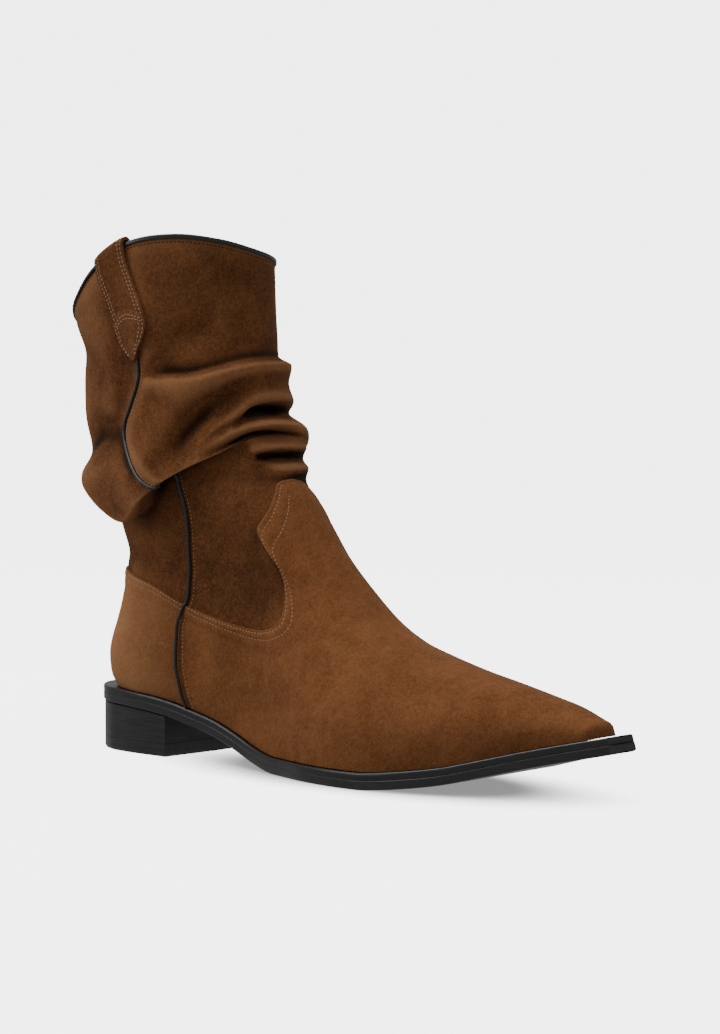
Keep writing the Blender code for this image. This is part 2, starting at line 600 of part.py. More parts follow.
def make_upper():
    rings = FOOT_RINGS + LOBE_RINGS + FOLD_RINGS + TOP_RINGS
    turns = np.arange(COLUMNS + 1) * 2 / COLUMNS
    across, rows = np.meshgrid(turns, np.arange(rings + 1.0))
    levels = level_of(across, rows)
    levels[-1] = 2
    # The step of the overlay runs between two lines: its foot on the shaft and its top on the overlay
    foot = overlay_edge(EDGE_POINTS // 2, 0)
    top = overlay_edge(EDGE_POINTS // 2, OVERLAY_BEVEL)
    line = np.concatenate([foot, top])
    line[:, 1] *= FOOT_RINGS / (crest_level(line[:, 0]) - LOBE_BAND)
    grid = np.stack([across, rows], -1)[: FOOT_RINGS + 1].reshape(-1, 2)
    spread = np.array([TURN_LENGTH, RING_HEIGHT])
    gaps = np.linalg.norm((grid[:, None] - line[None]) * spread, axis=-1).min(axis=1)
    grid = grid[gaps > STEP_CLEARANCE]
    lift = np.where(in_overlay(grid[:, 0], level_of(grid[:, 0], grid[:, 1])), OVERLAY_THICKNESS, 0.0)
    lift = np.concatenate([lift, np.zeros(len(foot)), np.full(len(top), OVERLAY_THICKNESS)])
    spots = np.concatenate([grid, line])
    edges = [(len(grid) + i, len(grid) + i + 1) for i in range(len(line) - 1) if i != len(foot) - 1]
    cut = delaunay_2d_cdt([Vector(spot) for spot in spots * spread], edges, [], 0, 1e-7)
    where = np.array([old[0] for old in cut[3]])
    turn, ring = spots[where].T
    outer = raised(turn, level_of(turn, ring), lift[where])
    outer[ring == 0, 2] = outside(turn[ring == 0], 0.0)[:, 2]
    faces = [tuple(face) for face in cut[2]]
    # Above the overlay and on the inside the wall's faces follow the rings
    shaft = outside(across[FOOT_RINGS:], levels[FOOT_RINGS:])
    # The inside is smoothed a little along the wall, so that it stays open in the sharp folds
    shifts = np.linspace(-SMOOTHED, SMOOTHED, 5)
    mean = sum(normals(outside, across, np.clip(levels + shift, 0, 2)) for shift in shifts)
    mean /= np.linalg.norm(mean, axis=-1, keepdims=True)
    inner = outside(across, levels) - mean * WALL
    inner[1:-1] = (inner[:-2] + 2 * inner[1:-1] + inner[2:]) / 4
    inner[0, :, 2] = outside(turns, 0.0)[:, 2]
    inner[-1, :, 2] = shaft[-1, :, 2]
    width = COLUMNS + 1
    high = len(outer)
    base = high + shaft.shape[0] * width
    for k in range(rings):
        for j in range(COLUMNS):
            spot = base + k * width + j
            faces.append((spot, spot + width, spot + width + 1, spot + 1))
            if k >= FOOT_RINGS:
                spot = high + (k - FOOT_RINGS) * width + j
                faces.append((spot, spot + 1, spot + width + 1, spot + width))
    # The two walls are joined along the sole's edge and along the collar
    sole_edge = {round(t, 6): i for i, (t, r) in enumerate(zip(turn, ring)) if r == 0}
    for j in range(COLUMNS):
        here, after = (sole_edge[round(turns[k], 6)] for k in (j, j + 1))
        faces.append((here, base + j, base + j + 1, after))
        rim = base - width + j
        last = base + rings * width + j
        faces.append((rim, rim + 1, last + 1, last))
    verts = np.concatenate([outer, shaft.reshape(-1, 3), inner.reshape(-1, 3)])
    add_object("upper", verts, faces, (0.155, 0.073, 0.035), 0.92)


def collar_frame(turns):
    """Rim points with the directions out of the boot and up along the wall."""
    rim = outside(turns, np.full(len(turns), 2.0))
    out = normals(outside, turns, np.full(len(turns), 2.0)) * np.array([1.0, 1.0, 0.0])
    out /= np.linalg.norm(out, axis=-1, keepdims=True)
    return rim, out, np.array([0.0, 0.0, 1.0])


def make_binding():
    turns = np.arange(COLUMNS) * 2 / COLUMNS
    rim, out, up = collar_frame(turns)
    step = 1e-3
    metric = np.linalg.norm(outside(turns, 2.0) - outside(turns, 2 - step), axis=-1) / step
    hem = 2 - BINDING_DEPTH / metric
    thick = BINDING_THICKNESS
    near = FIT_GAP
    far = -WALL - FIT_GAP
    loops = [
        raised(turns, hem, near + thick),
        rim + out * (near + thick) + up * FIT_GAP,
        rim + out * (near + thick * 0.4) + up * (FIT_GAP + thick),
        rim + out * (far - thick * 0.4) + up * (FIT_GAP + thick),
        rim + out * (far - thick) + up * FIT_GAP,
        raised(turns, hem, far - thick),
        raised(turns, hem, far),
        rim + out * far + up * FIT_GAP,
        rim + out * near + up * FIT_GAP,
        raised(turns, hem, near),
    ]
    faces = []
    for k in range(len(loops)):
        low = k * COLUMNS
        high = (k + 1) % len(loops) * COLUMNS
        for j in range(COLUMNS):
            after = (j + 1) % COLUMNS
            faces.append((low + j, low + after, high + after, high + j))
    add_object("collar_binding", np.concatenate(loops), faces, (0.015, 0.014, 0.015), 0.42)


def strap_lift(below, rise):
    """Height of the strap's middle over the wall, at a distance below the rim."""
    flat = TRIM_GAP + STRAP_THICKNESS / 2
    near_rim = np.clip(1 - (below - BINDING_DEPTH) / STRAP_LEAN, 0, 1)
    return flat + (rise - WALL / 2 - flat) * near_rim ** 2


def make_strap(name, mirrored):
    """Pull strap: down the outside in a pointed tab, over the binding, and down the inside."""
    shares = np.linspace(-1, 1, 5)
    middle = STRAP_THICKNESS / 2
    rise = WALL / 2 + FIT_GAP + BINDING_THICKNESS + TRIM_GAP + middle
    steps = np.arange(len(STRAP))
    side = -1 if mirrored else 1
    rows = []
    for spot in np.linspace(len(STRAP) - 1, 0, 13):
        turn = smooth(steps, column(STRAP, "turn"), spot)
        level = smooth(steps, column(STRAP, "level"), spot)
        half = max(smooth(steps, column(STRAP, "width"), spot) * STRAP_WIDTH, STRAP_TIP_WIDTH) / 2
        rows.append((turn, level, half))
    step = 1e-3
    wall = np.linalg.norm(outside(rows[-1][0], 2.0) - outside(rows[-1][0], 2 - step)) / step
    points = []
    for turn, level, half in rows:
        turn = turn if not mirrored else 2 - turn
        metric = np.linalg.norm(outside(turn + step, level) - outside(turn - step, level)) / (2 * step)
        lift = strap_lift((2 - level) * wall, rise)
        across = turn + side * shares * half / metric
        points.append(raised(across, np.full(5, level), np.full(5, lift)))
    turn, _, half = rows[-1]
    turn = turn if not mirrored else 2 - turn
    metric = np.linalg.norm(outside(turn + step, 2.0) - outside(turn - step, 2.0)) / (2 * step)
    across = turn + side * shares * half / metric
    rim, out, up = collar_frame(across)
    for angle in np.linspace(0, np.pi, 6):
        reach = -WALL / 2 + rise * np.cos(angle)
        points.append(rim + out * reach + up * rise * np.sin(angle))
    for drop in np.linspace(STRAP_INSIDE / 7, STRAP_INSIDE, 5):
        lift = -WALL - strap_lift(drop, rise)
        points.append(raised(across, np.full(5, 2 - drop / wall), np.full(5, lift)))
    verts = np.concatenate(points)
    faces = []
    for k in range(len(points) - 1):
        for j in range(4):
            spot = k * 5 + j
            quad = (spot, spot + 1, spot + 6, spot + 5)
            faces.append(quad[::-1] if mirrored else quad)
    strap = add_object(name, verts, faces, (0.165, 0.080, 0.040), 0.9)
    solid = strap.modifiers.new("Thickness", "SOLIDIFY")
    solid.thickness = STRAP_THICKNESS
    solid.offset = 0.0
    solid.use_even_offset = True


def make_piping(name, seam, mirrored, lift):
    """Fine cord laid along the side seam."""
    steps = np.arange(len(seam))
    spots = np.linspace(0, len(seam) - 1, PIPING_POINTS)
    turn = smooth(steps, column(seam, "turn"), spots)
    level = smooth(steps, column(seam, "level"), spots)
    height = lift + np.where(in_overlay(turn, level, STRAP_WIDTH / 4), OVERLAY_THICKNESS, 0.0)
    eased = np.convolve(np.pad(height, 1, mode="edge"), [0.25, 0.5, 0.25], mode="valid")
    height = np.maximum(height, eased)
    points = raised(2 - turn if mirrored else turn, level, height) - ORIGIN
    curve = bpy.data.curves.new(name, "CURVE")
    curve.dimensions = "3D"
    curve.bevel_depth = PIPING_RADIUS
    curve.bevel_resolution = 1
    curve.use_fill_caps = True
    spline = curve.splines.new("POLY")
    spline.points.add(len(points) - 1)
    for point, place in zip(spline.points, points):
        point.co = (*place, 1.0)
    cord = bpy.data.objects.new(name, curve)
    boot.objects.link(cord)
    finish(cord, (0.013, 0.012, 0.013), 0.40)


for leftover in list(bpy.data.objects):
    bpy.data.objects.remove(leftover)
boot = bpy.data.collections.new("slouch_boot")
bpy.context.scene.collection.children.link(boot)
make_sole()
make_heel()
make_insole()
make_upper()
make_binding()
make_strap("pull_strap_outer", False)
make_strap("pull_strap_inner", True)
for side, mirrored in (("outer", False), ("inner", True)):
    make_piping("piping_shaft_" + side, SHAFT_SEAM, mirrored, PIPING_RADIUS + TRIM_GAP)
    make_piping("piping_foot_" + side, FOOT_SEAM, mirrored, PIPING_RADIUS + TRIM_GAP)
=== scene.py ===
from collections import namedtuple

import bmesh
import bpy
import numpy as np
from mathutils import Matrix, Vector


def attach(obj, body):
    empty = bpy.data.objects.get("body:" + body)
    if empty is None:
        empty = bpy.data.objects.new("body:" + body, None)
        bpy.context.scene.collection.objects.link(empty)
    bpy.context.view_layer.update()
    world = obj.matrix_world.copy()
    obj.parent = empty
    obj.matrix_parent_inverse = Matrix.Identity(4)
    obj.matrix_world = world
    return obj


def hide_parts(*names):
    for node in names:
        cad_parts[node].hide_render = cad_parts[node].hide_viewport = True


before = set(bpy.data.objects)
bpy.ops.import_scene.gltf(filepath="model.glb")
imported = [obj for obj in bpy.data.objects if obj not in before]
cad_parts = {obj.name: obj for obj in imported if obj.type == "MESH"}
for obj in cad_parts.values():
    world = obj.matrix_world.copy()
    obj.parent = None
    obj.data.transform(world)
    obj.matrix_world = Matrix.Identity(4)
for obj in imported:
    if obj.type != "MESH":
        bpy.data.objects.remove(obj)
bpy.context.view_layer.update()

# The studio: a pale sweep that runs from the floor up behind the boot, a large soft lamp overhead, a
# lamp on each side, and a camera at the photograph's angle, about 1.07 m from the boot. The sweep glows by
# itself, and the soft shadow under the boot is a painted shadow, a darker patch in its glow.
FLOOR_REACH = 5.0
SWEEP_RADIUS = 2.4
WALL_HEIGHT = 7.0
CAMERA_PLACE = (0.7822, -0.7325, 0.1410)
CAMERA_TURN = 42.16
CAMERA_TILT = -1.84
PAINTED_SHADOW_PLACE = (0.135, -0.008, 0.0)
PAINTED_SHADOW_SIZE = (0.135, 0.056, 1.0)
PAINTED_SHADOW_TONE = (0.07, 0.07, 0.07)
PAINTED_SHADOW_EDGE = 0.48
PAPER_TONE = (0.80, 0.80, 0.80)
PAPER_GLOW = 4.3
AIR_STRENGTH = 0.32
FOCAL_PIXELS = 2300
FRAME_PIXELS = 1034


class Shade:
    """Wraps a node's output socket, so that shader maths reads as ordinary expressions."""

    def __init__(self, tree, socket):
        self.tree = tree
        self.socket = socket

    def node(self, kind, settings=None, **values):
        """Adds a node of a kind, gives it its settings, then its sockets' values or links."""
        made = self.tree.nodes.new(kind)
        for key, value in (settings or {}).items():
            setattr(made, key, value)
        for key, value in values.items():
            numbered = key[0] == "i" and key[1:].isdigit()
            socket = made.inputs[int(key[1:]) if numbered else key.replace("_", " ")]
            if isinstance(value, Shade):
                self.tree.links.new(value.socket, socket)
            elif isinstance(value, tuple) and socket.type == "RGBA":
                socket.default_value = (*value, 1)
            else:
                socket.default_value = value
        return made

    def out(self, kind, output=0, settings=None, **values):
        return Shade(self.tree, self.node(kind, settings, **values).outputs[output])

    def math(self, operation, other):
        return self.out("ShaderNodeMath", 0, {"operation": operation}, i0=self, i1=other)

    def __add__(self, other):
        return self.math("ADD", other)

    __radd__ = __add__

    def __sub__(self, other):
        return self.math("SUBTRACT", other)

    def __rsub__(self, other):
        return self.out("ShaderNodeMath", 0, {"operation": "SUBTRACT"}, i0=other, i1=self)

    def __mul__(self, other):
        return self.math("MULTIPLY", other)

    __rmul__ = __mul__

    def mix(self, low, high):
        """Colour from low to high as this value goes from 0 to 1."""
        settings = {"data_type": "RGBA", "blend_type": "MIX", "clamp_factor": True}
        return self.out("ShaderNodeMix", 2, settings, i0=self, i6=low, i7=high)

    def band(self, low, high):
        """0 below low and 1 above high, smooth between them."""
        settings = {"interpolation_type": "SMOOTHSTEP"}
        return self.out("ShaderNodeMapRange", 0, settings, Value=self, From_Min=low, From_Max=high)

    def noise(self, scale, detail=3.0, roughness=0.55, stretch=None, distortion=0.0):
        """Noise read at this vector, with a number of lumps a metre."""
        at = self
        if stretch is not None:
            at = self.out("ShaderNodeVectorMath", 0, {"operation": "MULTIPLY"}, i0=self, i1=stretch)
        values = {"Scale": scale, "Detail": detail, "Roughness": roughness, "Distortion": distortion}
        return self.out("ShaderNodeTexNoise", 0, None, Vector=at, **values)

    def bump(self, distance, strength=1.0, normal=None):
        extra = {} if normal is None else {"Normal": normal}
        return self.out("ShaderNodeBump", 0, None, Height=self, Distance=distance, Strength=strength, **extra)


def new_material(name, **constants):
    """A material with its shader, the object coordinates, and constants on the shader's sockets."""
    material = bpy.data.materials.new(name)
    material.use_nodes = True
    tree = material.node_tree
    shader = tree.nodes["Principled BSDF"]
    for key, value in constants.items():
        socket = shader.inputs[key.replace("_", " ")]
        socket.default_value = (*value, 1) if isinstance(value, tuple) else value
    start = Shade(tree, None)
    return material, shader, start.out("ShaderNodeTexCoord", "Object")


def feed(shader, **values):
    for key, value in values.items():
        value.tree.links.new(value.socket, shader.inputs[key.replace("_", " ")])


bpy.ops.object.select_all(action="DESELECT")
bpy.ops.mesh.primitive_grid_add(x_subdivisions=2, y_subdivisions=96, size=2)
sweep = bpy.context.object
sweep.name = "studio_sweep"
turn_back = np.radians(CAMERA_TURN)
away = np.array([-np.sin(turn_back), np.cos(turn_back), 0.0])
aside = np.array([np.cos(turn_back), np.sin(turn_back), 0.0])
bend_length = SWEEP_RADIUS * np.pi / 2
for vertex in sweep.data.vertices:
    run = (vertex.co.y + 1) / 2 * (2 * FLOOR_REACH + bend_length + WALL_HEIGHT)
    flat = min(run, 2 * FLOOR_REACH) - FLOOR_REACH
    angle = np.clip(run - 2 * FLOOR_REACH, 0, bend_length) / SWEEP_RADIUS
    climb_up = SWEEP_RADIUS * (1 - np.cos(angle)) + max(run - 2 * FLOOR_REACH - bend_length, 0)
    vertex.co = away * (flat + SWEEP_RADIUS * np.sin(angle)) + aside * vertex.co.x * 8 + [0, 0, climb_up]
sweep.data.shade_smooth()
sweep_paper, paper, spot = new_material(
    "studio_paper", Base_Color=PAPER_TONE, Roughness=1.0, Specular_IOR_Level=0.0, Emission_Strength=PAPER_GLOW
)
# Painted shadow: the sweep's glow is dimmed towards a grey tone in a soft ellipse under the boot
beneath = spot.out(
    "ShaderNodeMapping", 0, {"vector_type": "TEXTURE"}, Vector=spot, Location=PAINTED_SHADOW_PLACE, Scale=PAINTED_SHADOW_SIZE
)
ring = spot.out("ShaderNodeTexGradient", "Fac", {"gradient_type": "SPHERICAL"}, Vector=beneath)
feed(paper, Emission_Color=ring.band(0.0, PAINTED_SHADOW_EDGE).mix((1, 1, 1), PAINTED_SHADOW_TONE))
sweep.data.materials.append(sweep_paper)
sweep.visible_diffuse = False
sweep.visible_glossy = False

world = bpy.data.worlds.new("studio_air")
world.use_nodes = True
world.node_tree.nodes["Background"].inputs["Color"].default_value = (1, 1, 1, 1)
world.node_tree.nodes["Background"].inputs["Strength"].default_value = AIR_STRENGTH
bpy.context.scene.world = world
for name, place, size, power in (
    ("lamp_overhead", (-0.35, -0.25, 1.7), 1.5, 22.0),
    ("lamp_camera_left", (-1.05, -1.5, 0.9), 1.1, 8.5),
    ("lamp_toe_side", (1.9, 0.5, 1.0), 1.0, 1.6),
):
    bpy.ops.object.light_add(type="AREA", location=place)
    lamp = bpy.context.object
    lamp.name = name
    lamp.data.size = size
    lamp.data.energy = power
    lamp.rotation_euler = (Vector((0.06, 0, 0.1)) - Vector(place)).to_track_quat("-Z", "Y").to_euler()

bpy.ops.object.camera_add(location=CAMERA_PLACE)
camera = bpy.context.object
camera.rotation_euler = (np.radians(90 + CAMERA_TILT), 0, turn_back)
camera.data.sensor_fit = "AUTO"
camera.data.sensor_width = 36
camera.data.lens = 36 * FOCAL_PIXELS / FRAME_PIXELS
bpy.context.scene.camera = camera


# The outsole and the welt: two thin layers of black rubber and leather cut to one outline, glued and
# stitched, edges inked and polished. The welt's top shows as a narrow ledge round the upper.
SOLE_LENGTH = 0.2885
BALL_WIDTH = 0.088
WAIST_WIDTH = 0.056
SEAT_WIDTH = 0.059
TIP_WIDTH = 0.0135
TIP_LEAN = 0.0022
HEEL_LENGTH = 0.057
HEEL_HEIGHT = 0.0228
TOE_SPRING = 0.0205
OUTSOLE_THICKNESS = 0.0036
WELT_THICKNESS = 0.0032
FIT_GAP = 0.0003
Outline = namedtuple("Outline", "turn along width outer inner")
OUTLINE = [
    Outline(0.000, 0.000, SEAT_WIDTH, 0.000, 0.000),
    Outline(0.028, 0.002, SEAT_WIDTH, 0.153, 0.153),
    Outline(0.054, 0.010, SEAT_WIDTH, 0.288, 0.288),
    Outline(0.080, 0.029, SEAT_WIDTH, 0.398, 0.390),
    Outline(0.106, 0.055, SEAT_WIDTH, 0.466, 0.454),
    Outline(0.140, 0.093, SEAT_WIDTH, 0.497, 0.485),
    Outline(0.237, 0.200, SEAT_WIDTH, 0.508, 0.485),
    Outline(0.312, 0.285, WAIST_WIDTH, 0.527, 0.455),
    Outline(0.390, 0.371, WAIST_WIDTH, 0.557, 0.446),
    Outline(0.468, 0.456, BALL_WIDTH, 0.415, 0.332),
    Outline(0.548, 0.542, BALL_WIDTH, 0.489, 0.417),
    Outline(0.610, 0.611, BALL_WIDTH, 0.511, 0.475),
    Outline(0.672, 0.680, BALL_WIDTH, 0.489, 0.489),
    Outline(0.736, 0.748, BALL_WIDTH, 0.420, 0.440),
    Outline(0.802, 0.817, BALL_WIDTH, 0.332, 0.349),
    Outline(0.869, 0.885, BALL_WIDTH, 0.239, 0.252),
    Outline(0.926, 0.944, BALL_WIDTH, 0.150, 0.161),
    Outline(0.982, 0.998, TIP_WIDTH, 0.500, 0.500),
]
Side = namedtuple("Side", "along lift of")
SIDE = [
    Side(0.000, 1.000, HEEL_HEIGHT),
    Side(0.055, 0.965, HEEL_HEIGHT),
    Side(0.117, 0.921, HEEL_HEIGHT),
    Side(0.165, 0.868, HEEL_HEIGHT),
    Side(0.209, 0.789, HEEL_HEIGHT),
    Side(0.256, 0.658, HEEL_HEIGHT),
    Side(0.299, 0.530, HEEL_HEIGHT),
    Side(0.343, 0.350, HEEL_HEIGHT),
    Side(0.391, 0.140, HEEL_HEIGHT),
    Side(0.439, 0.013, HEEL_HEIGHT),
    Side(0.474, 0.000, HEEL_HEIGHT),
    Side(0.560, 0.000, HEEL_HEIGHT),
    Side(0.645, 0.000, TOE_SPRING),
    Side(0.707, 0.085, TOE_SPRING),
    Side(0.767, 0.215, TOE_SPRING),
    Side(0.820, 0.400, TOE_SPRING),
    Side(0.872, 0.590, TOE_SPRING),
    Side(0.923, 0.760, TOE_SPRING),
    Side(0.975, 0.920, TOE_SPRING),
    Side(1.000, 1.000, TOE_SPRING),
]
ORIGIN = np.array([HEEL_LENGTH / 2, 0.0, 0.0])
# Edge of a layer from the underside's middle to the top's middle: share of the half width kept, how
# far the edge is drawn in, and how high it is, in metres above the layer's foot or below its top
Layer = namedtuple("Layer", "keep inset foot top")


def smooth(xs, ys, x):
    """Smooth curve through the points (xs, ys), held level past both ends."""
    xs = np.asarray(xs, float)
    ys = np.asarray(ys, float)
    slopes = np.gradient(ys, xs)
    x = np.clip(x, xs[0], xs[-1])
    i = np.clip(np.searchsorted(xs, x, side="right") - 1, 0, len(xs) - 2)
    step = xs[i + 1] - xs[i]
    t = (x - xs[i]) / step
    rise = t * t * (3 - 2 * t)
    bend = step * t * (1 - t) * ((1 - t) * slopes[i] - t * slopes[i + 1])
    return ys[i] * (1 - rise) + ys[i + 1] * rise + bend


def column(rows, name):
    return np.array([getattr(row, name) for row in rows])


def underside(x):
    """Height of the outsole's lower face at a distance from the back of the sole."""
    lifts = column(SIDE, "lift") * column(SIDE, "of")
    return np.maximum(smooth(column(SIDE, "along"), lifts, x / SOLE_LENGTH), 0.0)


def vertex_rows(piece, name):
    """A vector of every vertex of a piece, its co or its normal, as rows of three."""
    flat = np.empty(len(piece.data.vertices) * 3)
    piece.data.vertices.foreach_get(name, flat)
    return flat.reshape(-1, 3)


def shaped_grid(name, across, up, place, depth=None):
    """A grid primitive whose every vertex is moved to place(u, v), with u and v from 0 to 1. Where
    depth(u, v) is given, its negative goes into the attribute crest."""
    bpy.ops.object.select_all(action="DESELECT")
    bpy.ops.mesh.primitive_grid_add(x_subdivisions=across, y_subdivisions=up, size=2)
    piece = bpy.context.object
    piece.name = piece.data.name = name
    u, v = (vertex_rows(piece, "co")[:, :2].T + 1) / 2
    piece.data.vertices.foreach_set("co", (place(u, v) - ORIGIN).ravel())
    if depth is not None:
        pocket_shade = piece.data.attributes.new("crest", "FLOAT", "POINT")
        pocket_shade.data.foreach_set("value", -depth(u, v).astype(np.float32))
    piece.data.update()
    bpy.ops.object.mode_set(mode="EDIT")
    bpy.ops.mesh.select_all(action="SELECT")
    bpy.ops.mesh.remove_doubles(threshold=0.000002)
    bpy.ops.mesh.normals_make_consistent(inside=False)
    bpy.ops.object.mode_set(mode="OBJECT")
    shell = bmesh.new()
    shell.from_mesh(piece.data)
    if shell.calc_volume(signed=True) < 0:
        bmesh.ops.reverse_faces(shell, faces=shell.faces)
        shell.to_mesh(piece.data)
    shell.free()
    piece.data.shade_smooth()
    return piece


def sole_edge(share, rise, inset, keep, length=None):
    """Points round the sole at share 0 to 1 of the way round, keeping a share of the half width."""
    lateral = share < 0.5
    last = OUTLINE[-1].turn
    if length is not None:
        last = np.interp(length / SOLE_LENGTH, column(OUTLINE, "along"), column(OUTLINE, "turn"))
    turn = last * np.where(lateral, share * 2, 2 - share * 2)
    along = smooth(column(OUTLINE, "turn"), column(OUTLINE, "along"), turn)
    lean = TIP_LEAN * rise / (OUTSOLE_THICKNESS + WELT_THICKNESS)
    x = inset + along * (SOLE_LENGTH - 2 * inset - lean)
    if length is not None:
        x = inset + along * SOLE_LENGTH / length * (length - 2 * inset)
    widths = column(OUTLINE, "width")
    outer = smooth(column(OUTLINE, "turn"), widths * column(OUTLINE, "outer"), turn)
    inner = smooth(column(OUTLINE, "turn"), widths * column(OUTLINE, "inner"), turn)
    half = np.maximum(np.where(lateral, outer, inner) - inset, 0) * keep
    return np.stack([x, np.where(lateral, -half, half), underside(x) + rise], -1)


def sole_layer(name, low, high, rows, length=None, floors=None):
    """One layer of the sole or heel between two heights over the underside, with shaped edges. Floors
    gives level heights for its foot and its top instead, with None for a top that keeps its own."""

    def place(u, v):
        spot = np.clip(np.round(v * (len(rows) - 1)).astype(int), 0, len(rows) - 1)
        keep, inset, foot, top = (column(rows, name)[spot] for name in Layer._fields)
        points = sole_edge(u, np.where(top > 0, high - foot, low + foot), inset, keep, length)
        if floors is not None:
            lid = points[:, 2] if floors[1] is None else floors[1] - foot
            points[:, 2] = np.where(top > 0, lid, floors[0] + foot)
        return points

    piece = shaped_grid(name, 280, len(rows) - 1, place)
    piece.data.set_sharp_from_angle(angle=0.6)
    return piece


def black_finish(name, tone, gloss, streak, streak_gain=0.35):
    """Inked and polished black edge: fine streaks along it, and rubbed patches that shine less."""
    material, shader, spot = new_material(name, Specular_IOR_Level=0.45, Coat_Roughness=0.30)
    fine = spot.noise(900, 2, 0.5, stretch=streak)
    patches = spot.noise(60, 4, 0.6)
    dust = spot.noise(2600, 2, 0.5)
    lightened = patches.band(0.48, 0.72)
    lighter = tuple(value * 2.2 + 0.004 for value in tone)
    feed(
        shader,
        Base_Color=(lightened * 0.35 + fine.band(0.35, 0.65) * streak_gain).mix(tone, lighter),
        Roughness=gloss + lightened * 0.12 + (fine - 0.5) * 0.12,
        Coat_Weight=0.35 - lightened * 0.2,
        Normal=(fine * 0.8 + dust * 0.2).bump(0.00012, 0.6),
    )
    return material


OUTSOLE_EDGE = [
    Layer(0.0, 0.0, 0.0, 0),
    Layer(1.0, 0.0012, 0.0, 0),
    Layer(1.0, 0.0004, 0.0002, 0),
    Layer(1.0, 0.0, 0.0008, 0),
    Layer(1.0, 0.0, 0.0002, 1),
    Layer(1.0, 0.00015, 0.0, 1),
    Layer(0.0, 0.0, 0.0, 1),
]
WELT_EDGE = [
    Layer(0.0, 0.0, 0.0, 0),
    Layer(1.0, 0.00018, 0.0, 0),
    Layer(1.0, 0.00005, 0.0002, 0),
    Layer(1.0, 0.0, 0.0008, 1),
    Layer(1.0, 0.00012, 0.0003, 1),
    Layer(1.0, 0.0004, 0.0, 1),
    Layer(0.0, 0.0, 0.0, 1),
]
outsole = sole_layer("outsole_edge_inked", 0, OUTSOLE_THICKNESS + FIT_GAP, OUTSOLE_EDGE)
ALONG_EDGE = (0.12, 0.12, 2)
outsole.data.materials.append(black_finish("outsole_rubber", (0.012, 0.012, 0.013), 0.30, ALONG_EDGE))
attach(outsole, "root")
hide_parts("outsole")

welt_foot = OUTSOLE_THICKNESS + FIT_GAP
welt = sole_layer("welt_edge_polished", welt_foot, welt_foot + WELT_THICKNESS, WELT_EDGE)
welt.data.materials.append(black_finish("welt_leather_polished", (0.008, 0.008, 0.009), 0.26, ALONG_EDGE))
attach(welt, "root")
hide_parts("welt")

# The heel: a stack of leather lifts pinned and glued under the seat, sanded flush, inked black and
# burnished, so its sides show fine level streaks. A rubber top piece closes it at the floor.
TOP_PIECE_HEIGHT = 0.006
HEEL_INSET = 0.0005
HEEL_BLACK = (0.005, 0.005, 0.0062)
ALONG_LIFTS = (0.07, 0.07, 1.3)
HEEL_EDGE = [
    Layer(0.0, HEEL_INSET, 0.0, 0),
    Layer(1.0, HEEL_INSET, 0.0, 0),
    Layer(1.0, HEEL_INSET, 0.0003, 1),
    Layer(1.0, HEEL_INSET + 0.0003, 0.0, 1),
    Layer(0.0, HEEL_INSET, 0.0, 1),
]
TOP_PIECE_EDGE = [
    Layer(0.0, HEEL_INSET, 0.0, 0),
    Layer(1.0, HEEL_INSET + 0.0014, 0.0, 0),
    Layer(1.0, HEEL_INSET + 0.0005, 0.0004, 0),
    Layer(1.0, HEEL_INSET, 0.0013, 0),
    Layer(1.0, HEEL_INSET, 0.0, 1),
    Layer(0.0, HEEL_INSET, 0.0, 1),
]
half_gap = FIT_GAP / 8
heel = sole_layer("heel_stack", 0, -FIT_GAP, HEEL_EDGE, HEEL_LENGTH, (TOP_PIECE_HEIGHT + half_gap, None))
burnished = {"tone": HEEL_BLACK, "gloss": 0.27, "streak": ALONG_LIFTS, "streak_gain": 1.2}
heel.data.materials.append(black_finish("heel_stack_burnished", **burnished))
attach(heel, "root")
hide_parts("heel_block")
top_piece = sole_layer("heel_lift", 0, 0, TOP_PIECE_EDGE, HEEL_LENGTH, (0.0, TOP_PIECE_HEIGHT - half_gap))
top_piece.data.materials.append(black_finish("heel_lift_rubber", **burnished))
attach(top_piece, "root")
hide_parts("heel_top_piece")

# The insole: a leather board glued down inside the upper, seen only through the collar. It keeps its
# CAD shape and gets plain tan leather with a fine grain.
insole_leather, shader, spot = new_material("insole_leather", Roughness=0.7)
grain = spot.noise(1400, 3, 0.6)
board = spot.noise(40, 4, 0.6).mix((0.20, 0.125, 0.07), (0.29, 0.19, 0.11))
feed(shader, Base_Color=board, Normal=grain.bump(0.0001, 0.5))
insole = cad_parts["insole"]
insole.data.materials.clear()
insole.data.materials.append(insole_leather)

